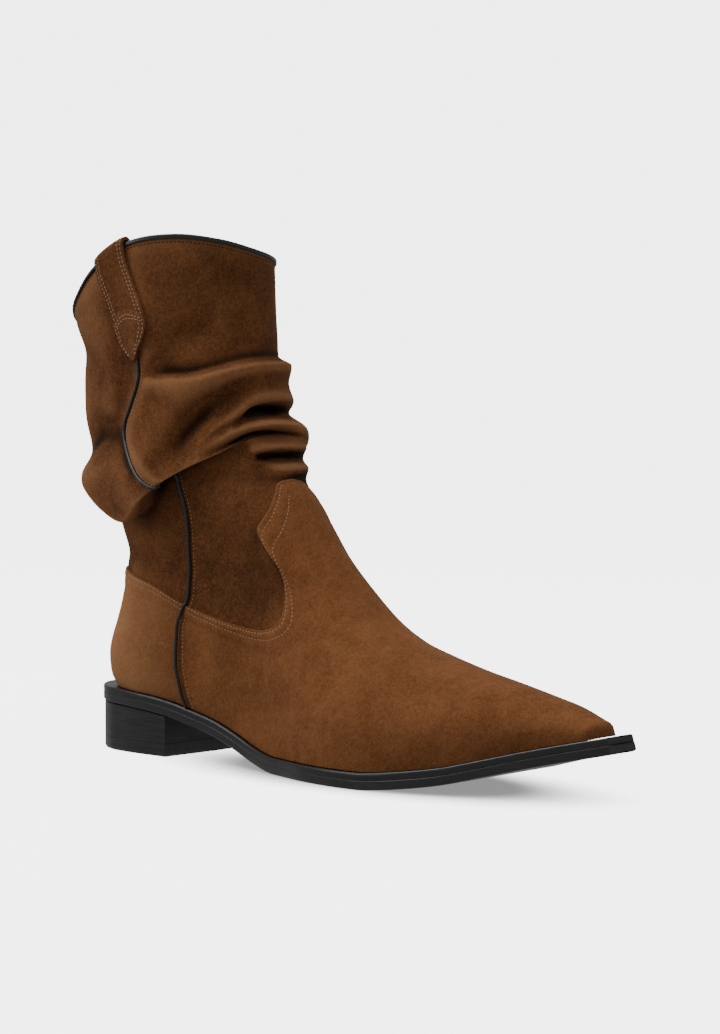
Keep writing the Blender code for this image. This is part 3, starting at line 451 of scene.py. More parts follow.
# The upper: soft suede cut in a back and a front panel and lasted over the foot, with a leather lining
# turned in at the collar. The shaft has sunk, so it hangs in one large lobe with pleats over it.
LEDGE_BACK = 0.0062
LEDGE_SIDE = 0.0022
LEDGE_TOE = 0.009
ANKLE_HEIGHT = 0.112
THROAT_HEIGHT = 0.124
COLLAR_BACK = 0.197
COLLAR_FRONT = 0.227
COLLAR_PEAK = 0.233
SHAFT_WIDTH = 0.082
WALL = 0.0018
HEEL_ROUND = 0.027
TOE_ROUND = 0.007
RIDGE_SHIFT = 0.003
LOBE_OUT = 0.010
LOBE_SAG = 0.018
LOBE_LOW = 0.006
LOBE_HIGH = 0.016
FOOT_LENGTH = SOLE_LENGTH - LEDGE_BACK - LEDGE_TOE
Section = namedtuple("Section", "level back front front_rise flat round swell half wave")
SECTIONS = [
    Section(0.000, 0.000, 1.000, 0.000, 0.00, 0.00, 1.00, 0.75, 0.00),
    Section(0.051, -0.008, 0.991, 0.044, 0.04, 0.00, 1.06, 0.75, 0.00),
    Section(0.129, -0.011, 0.971, 0.071, 0.10, 0.00, 1.10, 0.75, 0.00),
    Section(0.202, -0.010, 0.934, 0.108, 0.18, 0.00, 1.12, 0.75, 0.00),
    Section(0.287, -0.002, 0.883, 0.139, 0.28, 0.00, 1.13, 0.75, 0.00),
    Section(0.371, 0.008, 0.817, 0.177, 0.40, 0.00, 1.12, 0.75, 0.00),
    Section(0.456, 0.016, 0.735, 0.222, 0.52, 0.00, 1.10, 0.75, 0.00),
    Section(0.540, 0.021, 0.664, 0.275, 0.64, 0.00, 1.07, 0.75, 0.00),
    Section(0.625, 0.024, 0.601, 0.338, 0.76, 0.05, 1.05, 0.75, 0.00),
    Section(0.698, 0.022, 0.549, 0.437, 0.86, 0.15, 1.04, 0.75, 0.00),
    Section(0.758, 0.020, 0.510, 0.550, 0.94, 0.30, 1.03, 0.76, 0.00),
    Section(0.819, 0.009, 0.474, 0.660, 1.00, 0.50, 1.03, 0.77, 0.00),
    Section(0.879, -0.001, 0.436, 0.789, 1.00, 0.70, 1.03, 0.78, 0.00),
    Section(0.940, -0.005, 0.398, 0.910, 1.00, 0.90, 1.03, 0.81, 0.00),
    Section(1.000, -0.008, 0.367, 1.000, 1.00, 1.00, 1.03, 0.83, 0.00),
    Section(1.069, -0.012, 0.350, 1.071, 1.00, 1.00, 1.03, 0.86, 0.00),
    Section(1.184, -0.020, 0.332, 1.173, 1.00, 1.00, 1.03, 0.90, 0.00),
    Section(1.379, -0.035, 0.310, 1.327, 1.00, 1.00, 1.03, 0.93, 0.05),
    Section(1.575, -0.053, 0.294, 1.490, 1.00, 1.00, 1.03, 0.95, 0.25),
    Section(1.782, -0.077, 0.285, 1.673, 1.00, 1.00, 1.03, 0.99, 0.60),
    Section(2.000, -0.101, 0.284, 2.000, 1.00, 1.00, 1.03, 0.97, 1.00),
]
Collar = namedtuple("Collar", "turn peak")
COLLAR = [
    Collar(0.00, 0.00),
    Collar(0.12, 0.04),
    Collar(0.22, 0.16),
    Collar(0.32, 0.34),
    Collar(0.43, 0.64),
    Collar(0.57, 0.93),
    Collar(0.71, 1.00),
    Collar(0.86, 0.94),
    Collar(1.00, 0.84),
    Collar(1.18, 0.76),
    Collar(1.38, 0.68),
    Collar(1.55, 0.52),
    Collar(1.72, 0.28),
    Collar(1.88, 0.06),
]
Lobe = namedtuple("Lobe", "turn edge out")
LOBE = [
    Lobe(0.00, 0.095, 0.95),
    Lobe(0.16, 0.090, 1.00),
    Lobe(0.25, 0.062, 0.95),
    Lobe(0.32, 0.000, 0.82),
    Lobe(0.38, -0.044, 0.72),
    Lobe(0.43, -0.046, 0.76),
    Lobe(0.48, -0.020, 0.86),
    Lobe(0.56, 0.050, 1.00),
    Lobe(0.65, 0.116, 1.00),
    Lobe(0.80, 0.207, 0.85),
    Lobe(0.92, 0.273, 0.65),
    Lobe(1.05, 0.298, 0.55),
    Lobe(1.20, 0.264, 0.45),
    Lobe(1.40, 0.174, 0.60),
    Lobe(1.60, 0.074, 0.80),
    Lobe(1.80, 0.041, 0.90),
]
# The folds above and below the lobe, each a line round the boot: where it runs, as a share of the leg's
# height, and how far it stands out or in there, as a share of the lobe. A fold's first values are its
# softness below and above the line, in shares of the lobe, and how much it hangs.
Seam = namedtuple("Seam", "turn level")
Line = namedtuple("Line", "turn height out")
Fold = namedtuple("Fold", "below above hang lines")
FOLDS = [
    # Roll under the straight top of the shaft, with a crisp upper edge
    Fold(0.62, 0.11, 0.10, [
        Line(0.56, 0.478, 0.00), Line(0.62, 0.492, 0.14), Line(0.68, 0.504, 0.26), Line(0.75, 0.516, 0.36),
        Line(0.82, 0.535, 0.44), Line(0.91, 0.556, 0.50), Line(1.02, 0.568, 0.54), Line(1.12, 0.563, 0.56),
        Line(1.30, 0.535, 0.42), Line(1.50, 0.490, 0.20), Line(1.70, 0.460, 0.00),
    ]),
    Fold(0.12, 0.38, 0.0, [
        Line(0.58, 0.506, 0.00), Line(0.66, 0.524, -0.16), Line(0.73, 0.534, -0.17), Line(0.82, 0.558, -0.12),
        Line(0.91, 0.580, -0.08), Line(1.02, 0.592, -0.06), Line(1.20, 0.580, -0.06), Line(1.50, 0.530, 0.00),
    ]),
    # Broad slanted hollow that runs down towards the side seam
    Fold(0.50, 0.42, 0.0, [
        Line(0.57, 0.270, 0.00), Line(0.64, 0.322, -0.30), Line(0.70, 0.376, -0.50), Line(0.78, 0.434, -0.54),
        Line(0.86, 0.474, -0.46), Line(0.95, 0.500, -0.36), Line(1.07, 0.506, -0.28),
        Line(1.25, 0.474, -0.20),
        Line(1.50, 0.420, 0.00),
    ]),
    # Second roll, which hangs over a deep pocket
    Fold(0.16, 0.36, 0.30, [
        Line(0.70, 0.352, 0.00), Line(0.76, 0.388, 0.16), Line(0.82, 0.425, 0.30), Line(0.88, 0.446, 0.38),
        Line(0.95, 0.470, 0.42), Line(1.03, 0.478, 0.42), Line(1.12, 0.470, 0.38), Line(1.30, 0.430, 0.24),
        Line(1.50, 0.400, 0.00),
    ]),
    Fold(0.18, 0.18, 0.0, [
        Line(0.85, 0.405, 0.00), Line(0.90, 0.429, -0.40), Line(0.935, 0.438, -1.00),
        Line(0.98, 0.442, -1.30),
        Line(1.06, 0.437, -1.10), Line(1.12, 0.425, -0.40), Line(1.22, 0.405, -0.15), Line(1.40, 0.380, 0.00),
    ]),
    # Third roll, the upper edge of the lobe at the front
    Fold(0.34, 0.20, 0.20, [
        Line(0.78, 0.350, 0.00), Line(0.88, 0.385, 0.22), Line(0.95, 0.400, 0.42), Line(1.02, 0.402, 0.48),
        Line(1.12, 0.385, 0.46), Line(1.25, 0.345, 0.34), Line(1.45, 0.300, 0.00),
    ]),
    # Dark slit under the third roll
    Fold(0.15, 0.17, 0.0, [
        Line(0.74, 0.318, 0.00), Line(0.80, 0.338, -0.30), Line(0.86, 0.356, -0.80), Line(0.92, 0.366, -1.25),
        Line(0.98, 0.368, -1.10), Line(1.04, 0.362, -0.40), Line(1.08, 0.358, 0.00),
    ]),
    # Hole under the lobe at the front, and the small rolls below it
    Fold(0.20, 0.26, 0.0, [
        Line(0.84, 0.280, 0.00), Line(0.89, 0.297, -0.45), Line(0.94, 0.302, -1.20), Line(1.02, 0.302, -1.15),
        Line(1.08, 0.300, -0.45), Line(1.14, 0.295, 0.00),
    ]),
    Fold(0.15, 0.15, 0.10, [
        Line(0.86, 0.205, 0.00), Line(0.92, 0.222, 0.28), Line(1.01, 0.226, 0.36), Line(1.10, 0.226, 0.20),
        Line(1.20, 0.220, 0.06), Line(1.35, 0.200, 0.00),
    ]),
    Fold(0.13, 0.13, 0.0, [
        Line(0.88, 0.182, 0.00), Line(0.93, 0.188, -0.35), Line(0.99, 0.191, -0.58), Line(1.06, 0.193, -0.42),
        Line(1.12, 0.190, -0.12), Line(1.20, 0.185, 0.00),
    ]),
    Fold(0.30, 0.16, 0.25, [
        Line(0.90, 0.140, 0.00), Line(0.97, 0.152, 0.20), Line(1.05, 0.158, 0.30), Line(1.15, 0.155, 0.28),
        Line(1.30, 0.135, 0.24), Line(1.55, 0.100, 0.00),
    ]),
    Fold(0.75, 0.75, 0.0, [
        Line(0.98, 0.260, 0.00), Line(1.08, 0.262, 0.24), Line(1.17, 0.262, 0.48), Line(1.28, 0.250, 0.40),
        Line(1.45, 0.225, 0.15), Line(1.60, 0.200, 0.00),
    ]),
    # Back panel: a hollow across the back and a lesser crease under it
    Fold(0.34, 0.52, 0.0, [
        Line(-0.60, 0.300, 0.00), Line(-0.30, 0.335, -0.35), Line(0.00, 0.345, -0.46),
        Line(0.20, 0.325, -0.50),
        Line(0.32, 0.314, -0.46), Line(0.39, 0.300, -0.30), Line(0.455, 0.292, -0.12),
        Line(0.50, 0.290, 0.00),
    ]),
    Fold(0.20, 0.26, 0.0, [
        Line(0.24, 0.262, 0.00), Line(0.31, 0.256, -0.10), Line(0.37, 0.252, -0.16), Line(0.44, 0.247, -0.08),
        Line(0.49, 0.246, 0.00),
    ]),
    # Soft dents in the straight part of the shaft
    Fold(0.50, 0.60, 0.0, [
        Line(0.64, 0.560, 0.00), Line(0.70, 0.600, -0.14), Line(0.78, 0.650, -0.18), Line(0.86, 0.690, 0.00),
    ]),
    Fold(0.60, 0.60, 0.0, [
        Line(-0.20, 0.520, 0.00), Line(0.05, 0.560, -0.16), Line(0.25, 0.590, -0.24),
        Line(0.36, 0.540, -0.10),
        Line(0.44, 0.500, 0.00),
    ]),
]


def around(rows, name, turn):
    """A table's column read all the way round the boot, with no break at the back."""
    turns = column(rows, "turn")
    values = np.tile(column(rows, name), 3)
    return smooth(np.concatenate([turns - 2, turns, turns + 2]), values, turn % 2)


def half_width(along, outer_side):
    """Half width of the sole at a share of its length."""
    widths = column(OUTLINE, "width")
    outer = smooth(column(OUTLINE, "along"), widths * column(OUTLINE, "outer"), along)
    inner = smooth(column(OUTLINE, "along"), widths * column(OUTLINE, "inner"), along)
    return np.where(outer_side, outer, inner)


def seat(x):
    """Height on which the upper stands, one fit gap above the welt."""
    return underside(x) + OUTSOLE_THICKNESS + WELT_THICKNESS + 2 * FIT_GAP


def climb(share, low, middle, high):
    """Height at a share of the way: 0 to 1 from low to middle, 1 to 2 from middle to high."""
    return np.where(share < 1, low + (middle - low) * share, middle + (high - middle) * (share - 1))


def ring_at(level):
    """The values of SECTIONS at a level, with the ring's back and front points."""
    levels = column(SECTIONS, "level")
    ring = {name: smooth(levels, column(SECTIONS, name), level) for name in Section._fields[1:]}
    ring["back_x"] = LEDGE_BACK + ring["back"] * FOOT_LENGTH
    ring["front_x"] = LEDGE_BACK + ring["front"] * FOOT_LENGTH
    ring["back_z"] = climb(level, seat(LEDGE_BACK), ANKLE_HEIGHT, COLLAR_BACK)
    ring["front_z"] = climb(ring["front_rise"], seat(LEDGE_BACK + FOOT_LENGTH), THROAT_HEIGHT, COLLAR_FRONT)
    return ring


def ridge_height(x):
    """Height of the vamp's top line, carried on steeply behind the throat."""
    ring = ring_at(np.linspace(0.0, 1.0, 60))
    behind = np.maximum(ring["front_x"][-1] - x, 0.0)
    return np.interp(x, ring["front_x"][::-1], ring["front_z"][::-1]) + 2.2 * behind


def plain_form(turn, level):
    """Point on the boot's outside as lasted, with the shaft still smooth."""
    turn, level = np.broadcast_arrays(np.asarray(turn, float) % 2, np.asarray(level, float))
    share = 1 - np.abs(turn - 1)
    outer_side = turn < 1
    ring = ring_at(level)
    ellipse = (1 - np.cos(np.pi * share)) / 2
    even = 0.45 * share + 0.55 * ellipse
    along = even + (ellipse - even) * ring["round"]
    x = ring["back_x"] + (ring["front_x"] - ring["back_x"]) * along
    chord = ring["back_z"] + (ring["front_z"] - ring["back_z"]) * along
    seat_chord = seat(ring["back_x"]) + (seat(ring["front_x"]) - seat(ring["back_x"])) * along
    peak = COLLAR_BACK + (COLLAR_PEAK - COLLAR_BACK) * around(COLLAR, "peak", turn)
    collar_chord = COLLAR_BACK + (COLLAR_FRONT - COLLAR_BACK) * along
    z = chord + (1 - ring["flat"]) * (seat(x) - seat_chord) + ring["wave"] * (peak - collar_chord)
    height = np.clip((z - seat(x)) / np.maximum(ridge_height(x) - seat(x), 1e-6), 0, 1)
    dome = np.interp(x / SOLE_LENGTH, [0.38, 0.52, 0.65, 1.0], [3.4, 2.4, 2.1, 2.0])
    nose = np.maximum(height ** (dome / 2), 1 - np.clip((ring["front_x"] - x) / TOE_ROUND, 0, 1))
    heel_curve = 1 - np.clip((x - ring["back_x"]) / HEEL_ROUND, 0, 1)
    rear = np.clip((0.41 - x / SOLE_LENGTH) / 0.2, 0, 1)
    width = half_width(np.maximum(x / SOLE_LENGTH, 0.1), outer_side) - LEDGE_SIDE
    width = width * (1 + (ring["swell"] - 1) * rear)
    half = width * np.sqrt(1 - heel_curve ** 2) * np.sqrt(np.maximum(1 - nose ** 2, 0))
    tube = ring["half"] * SHAFT_WIDTH / 2 * np.sin(np.pi * share)
    half = half + (tube - half) * ring["round"]
    arc = np.sin(np.pi * np.clip((x - LEDGE_BACK) / FOOT_LENGTH, 0, 1))
    lean = RIDGE_SHIFT * height ** 2 * arc * (1 - ring["round"])
    return np.stack([x, np.where(outer_side, -half, half) + lean, z], -1)


# On the sharp ridge of the toe the two sides meet, and its direction is read over a wider strip
RIDGE_REACH = 0.03
RIDGE_FLAT = 0.06


def normals(form, turn, level):
    """Unit normals of a form, pointing out of the boot."""
    step = 1e-4
    low = np.clip(level - step, 0, 2)
    high = np.clip(level + step, 0, 2)
    across = form(turn + step, level) - form(turn - step, level)
    flat = np.linalg.norm(across, axis=-1) < RIDGE_FLAT * step
    if flat.any():
        turn, level = np.broadcast_arrays(turn, level)
        ahead = form(turn[flat] + RIDGE_REACH, level[flat])
        across[flat] = ahead - form(turn[flat] - RIDGE_REACH, level[flat])
    up = form(turn, high) - form(turn, low)
    normal = np.cross(across, up)
    return normal / np.maximum(np.linalg.norm(normal, axis=-1, keepdims=True), 1e-12)


def hump(height, crest, low, high):
    """Soft ridge, 1 at its crest, with its own width below and above."""
    gap = height - crest
    return np.exp(-0.5 * (gap / np.where(gap < 0, low, high)) ** 2)


def lobe_crest(turn):
    edge = ANKLE_HEIGHT + (COLLAR_PEAK - ANKLE_HEIGHT) * around(LOBE, "edge", turn)
    return edge + 1.05 * LOBE_SAG * around(LOBE, "out", turn)


def fold_sizes(turn, height):
    """Each fold with its size at a turn and a height, negative in a trough."""
    leg = COLLAR_PEAK - ANKLE_HEIGHT
    for fold in FOLDS:
        first = fold.lines[0].turn
        spot = (turn - first) % 2 + first
        crest = ANKLE_HEIGHT + leg * smooth(column(fold.lines, "turn"), column(fold.lines, "height"), spot)
        size = hump(height, crest, fold.below * LOBE_OUT, fold.above * LOBE_OUT)
        size = size * smooth(column(fold.lines, "turn"), column(fold.lines, "out"), spot)
        yield fold, np.where(spot < fold.lines[-1].turn, size, 0.0)


def fold_shift(turn, height):
    """How far the folds push the shaft out and let it sag, at a turn and a height."""
    size = around(LOBE, "out", turn) * hump(height, lobe_crest(turn), LOBE_LOW, LOBE_HIGH)
    out = LOBE_OUT * size
    sag = LOBE_SAG * size
    for fold, size in fold_sizes(turn, height):
        out = out + LOBE_OUT * size
        sag = sag + fold.hang * LOBE_OUT * size
    return out, sag


# Where the side seam runs up the leg, and how it draws the suede: a swell ahead, a hollow behind
SHAFT_SEAM = [
    Seam(0.572, 1.640),
    Seam(0.572, 1.610),
    Seam(0.566, 1.556),
    Seam(0.532, 1.478),
    Seam(0.494, 1.400),
    Seam(0.489, 1.360),
    Seam(0.508, 1.322),
    Seam(0.544, 1.282),
    Seam(0.586, 1.228),
    Seam(0.606, 1.190),
]
SEAM_SWELL = 0.0009
SEAM_HOLLOW = 0.0027
GIRTH = 0.118


def seam_pull(turn, level):
    half = 1 - np.abs(turn % 2 - 1)
    seam = smooth(column(SHAFT_SEAM, "level")[::-1], column(SHAFT_SEAM, "turn")[::-1], level)
    ahead = (half - seam) * GIRTH
    ends = np.clip((level - 1.14) / 0.12, 0, 1) * np.clip((2.0 - level) / 0.35, 0, 1)
    swell = SEAM_SWELL * np.exp(-(((ahead - 0.004) / 0.0035) ** 2))
    return ends * (swell - SEAM_HOLLOW * np.exp(-(((ahead + 0.007) / 0.007) ** 2)))


def outside(turn, level, share=1.0):
    """Point on the outside of the upper, with a share of its folds."""
    turn, level = np.broadcast_arrays(np.asarray(turn, float), np.asarray(level, float))
    points = plain_form(turn, level)
    out, sag = fold_shift(turn, points[..., 2])
    out = out + seam_pull(turn, level)
    out = np.where(out < 0, out, out * share)
    soft = np.clip((level - 0.9) / 0.1, 0, 1)
    sideways = normals(plain_form, turn, level) * np.array([1.0, 1.0, 0.0])
    sideways /= np.maximum(np.linalg.norm(sideways, axis=-1, keepdims=True), 1e-9)
    points = points + sideways * (out * soft)[..., None]
    points[..., 2] -= sag * soft * share
    return points


def raised(turn, level, lift):
    """Point at a distance outside the upper, or inside it where the lift is negative."""
    lift = np.broadcast_to(np.asarray(lift, float), np.broadcast(turn, level).shape)
    return outside(turn, level) + normals(outside, turn, level) * lift[..., None]


def crest_level(turn):
    """Level of the main lobe's crest, read from a fine table round the boot."""
    turns = np.linspace(0.0, 2.0, 97)
    levels = np.linspace(1.0, 2.0, 81)
    heights = plain_form(turns[:, None], levels)[..., 2]
    crests = [np.interp(crest, row, levels) for crest, row in zip(lobe_crest(turns), heights)]
    return np.interp(turn % 2, turns, crests)


def suede(name, dark, light, nap_and_highlight):
    """Suede: brushed fibres in a fine speckle, cloudy patches where the nap lies another way, and
    colour from the piece's own crest attribute: where it is positive, lighter crests, partly rubbed nap and
    partly painted highlight; where it is negative, painted shade, near black."""
    material, shader, spot = new_material(
        name, Roughness=0.95, Specular_IOR_Level=0.12,
        Sheen_Weight=0.14, Sheen_Roughness=0.5, Sheen_Tint=(0.70, 0.42, 0.24),
    )
    clouds = spot.noise(34, 4, 0.6, distortion=0.4)
    patches = spot.noise(120, 4, 0.62)
    fibres = spot.noise(1350, 2, 0.6)
    hairs = spot.noise(900, 3, 0.7, stretch=(1.0, 1.0, 0.45))
    crest = spot.out("ShaderNodeAttribute", "Fac", {"attribute_name": "crest"})
    grain = spot.noise(520, 3, 0.65)
    tone = clouds.band(0.34, 0.68) * 0.32 + patches.band(0.34, 0.68) * 0.16 + grain.band(0.34, 0.68) * 0.20
    tone = tone + fibres.band(0.36, 0.64) * 0.32
    # Painted shade and highlight: a negative crest darkens the suede to near black, a positive one lightens
    # it, partly rubbed nap and partly painted highlight
    feed(
        shader,
        Base_Color=crest.band(-1.0, 0.0).mix(
            tuple(0.16 * value for value in dark),
            (crest.band(0.05, 1.0) * (0.45 + grain * 0.5)).mix(tone.mix(dark, light), nap_and_highlight),
        ),
        Roughness=0.88 + patches * 0.12,
        Normal=hairs.bump(0.0005, 0.45, fibres.bump(0.00025, 0.6, patches.bump(0.0010, 0.4))),
    )
    return material


def mark_crests(piece, scales):
    """Writes how far each vertex stands over its surroundings, -1 to 1, into the attribute crest.
    Each scale is a number of smoothing rounds and the height that counts as full."""
    count = len(piece.data.vertices)
    points = vertex_rows(piece, "co")
    normal = vertex_rows(piece, "normal")
    ends = np.empty(len(piece.data.edges) * 2, int)
    piece.data.edges.foreach_get("vertices", ends)
    start, end = ends.reshape(-1, 2).T
    near = np.bincount(start, minlength=count) + np.bincount(end, minlength=count)
    mean = points.copy()
    attribute = piece.data.attributes["crest"]
    over = np.empty(count)
    attribute.data.foreach_get("value", over)
    done = 0
    for rounds, height in scales:
        for _ in range(rounds - done):
            sums = [
                np.bincount(start, mean[end, k], count) + np.bincount(end, mean[start, k], count)
                for k in range(3)
            ]
            mean = (mean + np.stack(sums, -1) / near[:, None]) / 2
        done = rounds
        over += np.clip(((points - mean) * normal).sum(-1) / height, -1, 1)
    attribute.data.foreach_set("value", np.clip(over, -1, 1).astype(np.float32))


# Share of the upper's sheet that lies outside, and where the lining starts inside the rim
OUTSIDE_SHARE = 0.78
RIM_SHARE = 0.79
LINING_DEPTH = 1.75
LINING_SLACK = 0.0105
LINING_DARK = (0.10, 0.052, 0.026)
LINING_TAN = (0.20, 0.115, 0.060)
UNDER_OVERLAY = 0.0009


def upper_level(turn, share):
    """Level for a share of the way up, with more rows where the folds are."""
    crest = crest_level(turn)
    start = crest - 0.17
    slow = np.clip(share / 0.38, 0, 1) * start
    folds = np.clip((share - 0.38) / 0.46, 0, 1) * 0.60
    return slow + folds + np.clip((share - 0.84) / 0.16, 0, 1) * (2 - start - 0.60)


def upper_sheet(u, v):
    turn = u * 2
    share = np.clip(v / OUTSIDE_SHARE, 0, 1)
    level = np.where(v <= OUTSIDE_SHARE, upper_level(turn, share), 2.0)
    points = raised(turn, level, -UNDER_OVERLAY * np.clip((0.52 - level) / 0.06, 0, 1))
    points[level == 0, 2] = outside(turn, level)[level == 0, 2]
    rim = outside(turn, np.full_like(turn, 2.0))
    inward = normals(plain_form, turn, np.full_like(turn, 2.0)) * np.array([-1.0, -1.0, 0.0])
    inward /= np.linalg.norm(inward, axis=-1, keepdims=True)
    down = np.clip((v - RIM_SHARE) / (1 - RIM_SHARE), 0, 1)
    inner_level = 2 - LINING_DEPTH * down
    folded = np.clip((1.62 - inner_level) / 0.15, 0, 1) * np.clip((inner_level - 0.9) / 0.1, 0, 1)
    depth = WALL + LINING_SLACK * folded
    lining = outside(turn, inner_level, 0.45) - normals(plain_form, turn, inner_level) * depth[:, None]
    lining[..., 2] = np.where(down < 0.001, rim[..., 2], lining[..., 2])
    points = np.where((v > OUTSIDE_SHARE + 1e-6)[:, None], lining, points)
    return points


def pocket_depth(u, v):
    """1 deep in a pocket between two rolls, which the suede paints dark as painted shade, 0 outside them."""
    turn = u * 2
    level = np.where(v <= OUTSIDE_SHARE, upper_level(turn, np.clip(v / OUTSIDE_SHARE, 0, 1)), 2.0)
    height = plain_form(turn, level)[..., 2]
    deepest = np.minimum.reduce([size for _, size in fold_sizes(turn, height)])
    return np.clip((-deepest - 0.48) / 0.40, 0, 1)


UPPER_COLUMNS = 320
UPPER_ROWS = 260
# The upper's crest attribute carries painted shade and light: pockets between rolls and hollows below their
# surroundings are painted dark, and raised crests lighter, partly rubbed nap and partly painted highlight
upper = shaped_grid("upper_suede", UPPER_COLUMNS, UPPER_ROWS, upper_sheet, pocket_depth)
mark_crests(upper, ((40, 0.0018), (220, 0.0040)))
shaft_tones = ((0.052, 0.0165, 0.0046), (0.262, 0.102, 0.036), (0.36, 0.165, 0.070))
upper.data.materials.append(suede("suede_shaft", *shaft_tones))
lining_leather, shader, spot = new_material("lining_leather", Roughness=0.6, Specular_IOR_Level=0.3)
pores = spot.noise(900, 3, 0.6)
tone = spot.noise(30, 3) * 0.5 + pores * 0.5
feed(shader, Base_Color=tone.mix(LINING_DARK, LINING_TAN), Normal=pores.bump(0.0002, 0.5))
upper.data.materials.append(lining_leather)
inner_faces = int((1 - RIM_SHARE - 0.004) * UPPER_ROWS) * UPPER_COLUMNS
marks = np.zeros(len(upper.data.polygons), int)
marks[-inner_faces:] = 1
upper.data.polygons.foreach_set("material_index", marks)
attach(upper, "root")
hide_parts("upper")

# The counter and vamp: a second, lighter suede laid over the upper from heel to toe. Its cut edge runs
# in a wave up to the throat and is held by two rows of stitching, which pull it down a little.
OVERLAY_THICKNESS = 0.0011
OVERLAY_UNDER = 0.0004
OVERLAY_SETTLED = 0.0009
SETTLED_FROM = 0.004
SETTLED_OVER = 0.010
DOWN_REACH = 0.115
EDGE_ROUNDING = 0.0006
ROW_DEPTHS = (0.0013, 0.0041)
STITCH_GROOVE = 0.00028
LEVEL_HEIGHT = 0.095
Edge = namedtuple("Edge", "turn level foot")
OVERLAY = [
    Edge(0.000, 0.676, 0.000),
    Edge(0.120, 0.668, 0.120),
    Edge(0.270, 0.634, 0.270),
    Edge(0.365, 0.565, 0.365),
    Edge(0.430, 0.536, 0.430),
    Edge(0.495, 0.534, 0.495),
    Edge(0.572, 0.554, 0.568),
    Edge(0.650, 0.608, 0.640),
    Edge(0.720, 0.680, 0.712),
    Edge(0.758, 0.744, 0.770),
    Edge(0.764, 0.798, 0.805),
    Edge(0.748, 0.850, 0.832),
    Edge(0.756, 0.884, 0.858),
    Edge(0.824, 0.924, 0.895),
    Edge(0.884, 0.964, 0.935),
    Edge(0.930, 0.998, 0.965),
    Edge(1.000, 1.010, 1.000),
]


def edge_spots():
    """Row numbers of OVERLAY at 400 even steps along the edge, from the back to the throat."""
    spots = np.linspace(0, len(OVERLAY) - 1, 4000)
    steps = np.arange(len(OVERLAY))
    turn, level = (smooth(steps, column(OVERLAY, name), spots) for name in ("turn", "level"))
    line = raised(turn, level, 0)
    length = np.concatenate([[0], np.cumsum(np.linalg.norm(np.diff(line, axis=0), axis=-1))])
    return np.interp(np.linspace(0, length[-1], 400), length, spots)


even_spots = edge_spots()


def overlay_spot(round_share, depth, far=0.0):
    """Turn and level in the overlay, a depth below its edge and then a share of the way to the sole."""
    half = 1 - np.abs(2 * round_share - 1)
    spot = np.interp(half, np.linspace(0, 1, 400), even_spots)
    steps = np.arange(len(OVERLAY))
    turn, level, foot = (smooth(steps, column(OVERLAY, name), spot) for name in Edge._fields)
    left = np.clip(1 - depth / (level * LEVEL_HEIGHT), 0, 1) * (1 - far)
    turn = foot + (turn - foot) * left ** 5
    return np.where(round_share < 0.5, turn, 2 - turn), level * left


def overlay_lift(depth):
    """How far the overlay's face stands out at a depth below its edge."""
    round_off = np.sqrt(np.clip(1 - (1 - depth / EDGE_ROUNDING).clip(0, 1) ** 2, 0, 1))
    grooves = sum(np.exp(-(((depth - row) / 0.0005) ** 2)) for row in ROW_DEPTHS)
    padding = 0.00018 * np.exp(-(((depth - np.mean(ROW_DEPTHS)) / 0.0013) ** 2))
    return OVERLAY_THICKNESS * round_off - STITCH_GROOVE * grooves + padding


NEAR_EDGE = [0, 0.1, 0.25, 0.45, 0.7, 1.0, 1.3, 1.6, 1.9, 2.4, 3.0, 3.6, 4.2, 4.7, 5.2, 5.7, 6.2, 7.0]
NEAR_EDGE = np.array(NEAR_EDGE) / 1000
DOWN_ROWS = 70


def overlay_sheet(u, v):
    rows = len(NEAR_EDGE) + DOWN_ROWS
    spot = v * (2 * rows - 1)
    folded = np.where(spot < rows, rows - 1 - spot, spot - rows)
    near = np.interp(folded, np.arange(len(NEAR_EDGE)), NEAR_EDGE)
    far = np.clip((folded - len(NEAR_EDGE) + 1) / DOWN_ROWS, 0, 1)
    turn, level = overlay_spot(u, near, far)
    settled = np.clip((near + far * DOWN_REACH - SETTLED_FROM) / SETTLED_OVER, 0, 1)
    face = overlay_lift(near + far) - OVERLAY_SETTLED * settled
    lift = np.where(spot < rows, face, -OVERLAY_UNDER)
    points = raised(turn, level, lift)
    points[level < 1e-9, 2] = outside(turn, level)[level < 1e-9, 2]
    return points


overlay = shaped_grid("vamp_and_counter", 420, 2 * (len(NEAR_EDGE) + DOWN_ROWS) - 1, overlay_sheet)
vamp_tones = ((0.135, 0.046, 0.0130), (0.325, 0.131, 0.048), (0.52, 0.255, 0.115))
overlay.data.materials.append(suede("suede_vamp", *vamp_tones))
# The suede is toned lighter towards the heel, and painted darker towards the toe, less on faces turned up:
# painted shade on the toe's lower side
along = (vertex_rows(overlay, "co")[:, 0] + ORIGIN[0]) / SOLE_LENGTH
upward = np.clip((vertex_rows(overlay, "normal")[:, 2] - 0.35) / 0.4, 0, 1)
lightened = 0.75 * np.exp(-(((along - 0.06) / 0.14) ** 2))
painted_toe_shade = 0.40 * np.clip((along - 0.42) / 0.4, 0, 1) * (1 - 0.6 * upward)
heel_tone_toe_shade = overlay.data.attributes.new("crest", "FLOAT", "POINT")
heel_tone_toe_shade.data.foreach_set("value", (lightened - painted_toe_shade).astype(np.float32))
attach(overlay, "root")

# The stitching: waxed thread in single short stitches, light tan along the wave, two rows that
# follow the cut edge. Every stitch is a small rounded grain sunk a little into the suede.
STITCH_PITCH = 0.0019
STITCH_LENGTH = 0.00135
STITCH_WIDTH = 0.00052
STITCH_SUNK = 0.00004


def thread(name, tone):
    material, shader, spot = new_material(name, Roughness=0.6, Specular_IOR_Level=0.3)
    twist = spot.noise(4000, 2, 0.5)
    feed(shader, Base_Color=twist.band(0.3, 0.7).mix(tuple(0.72 * value for value in tone), tone))
    return material


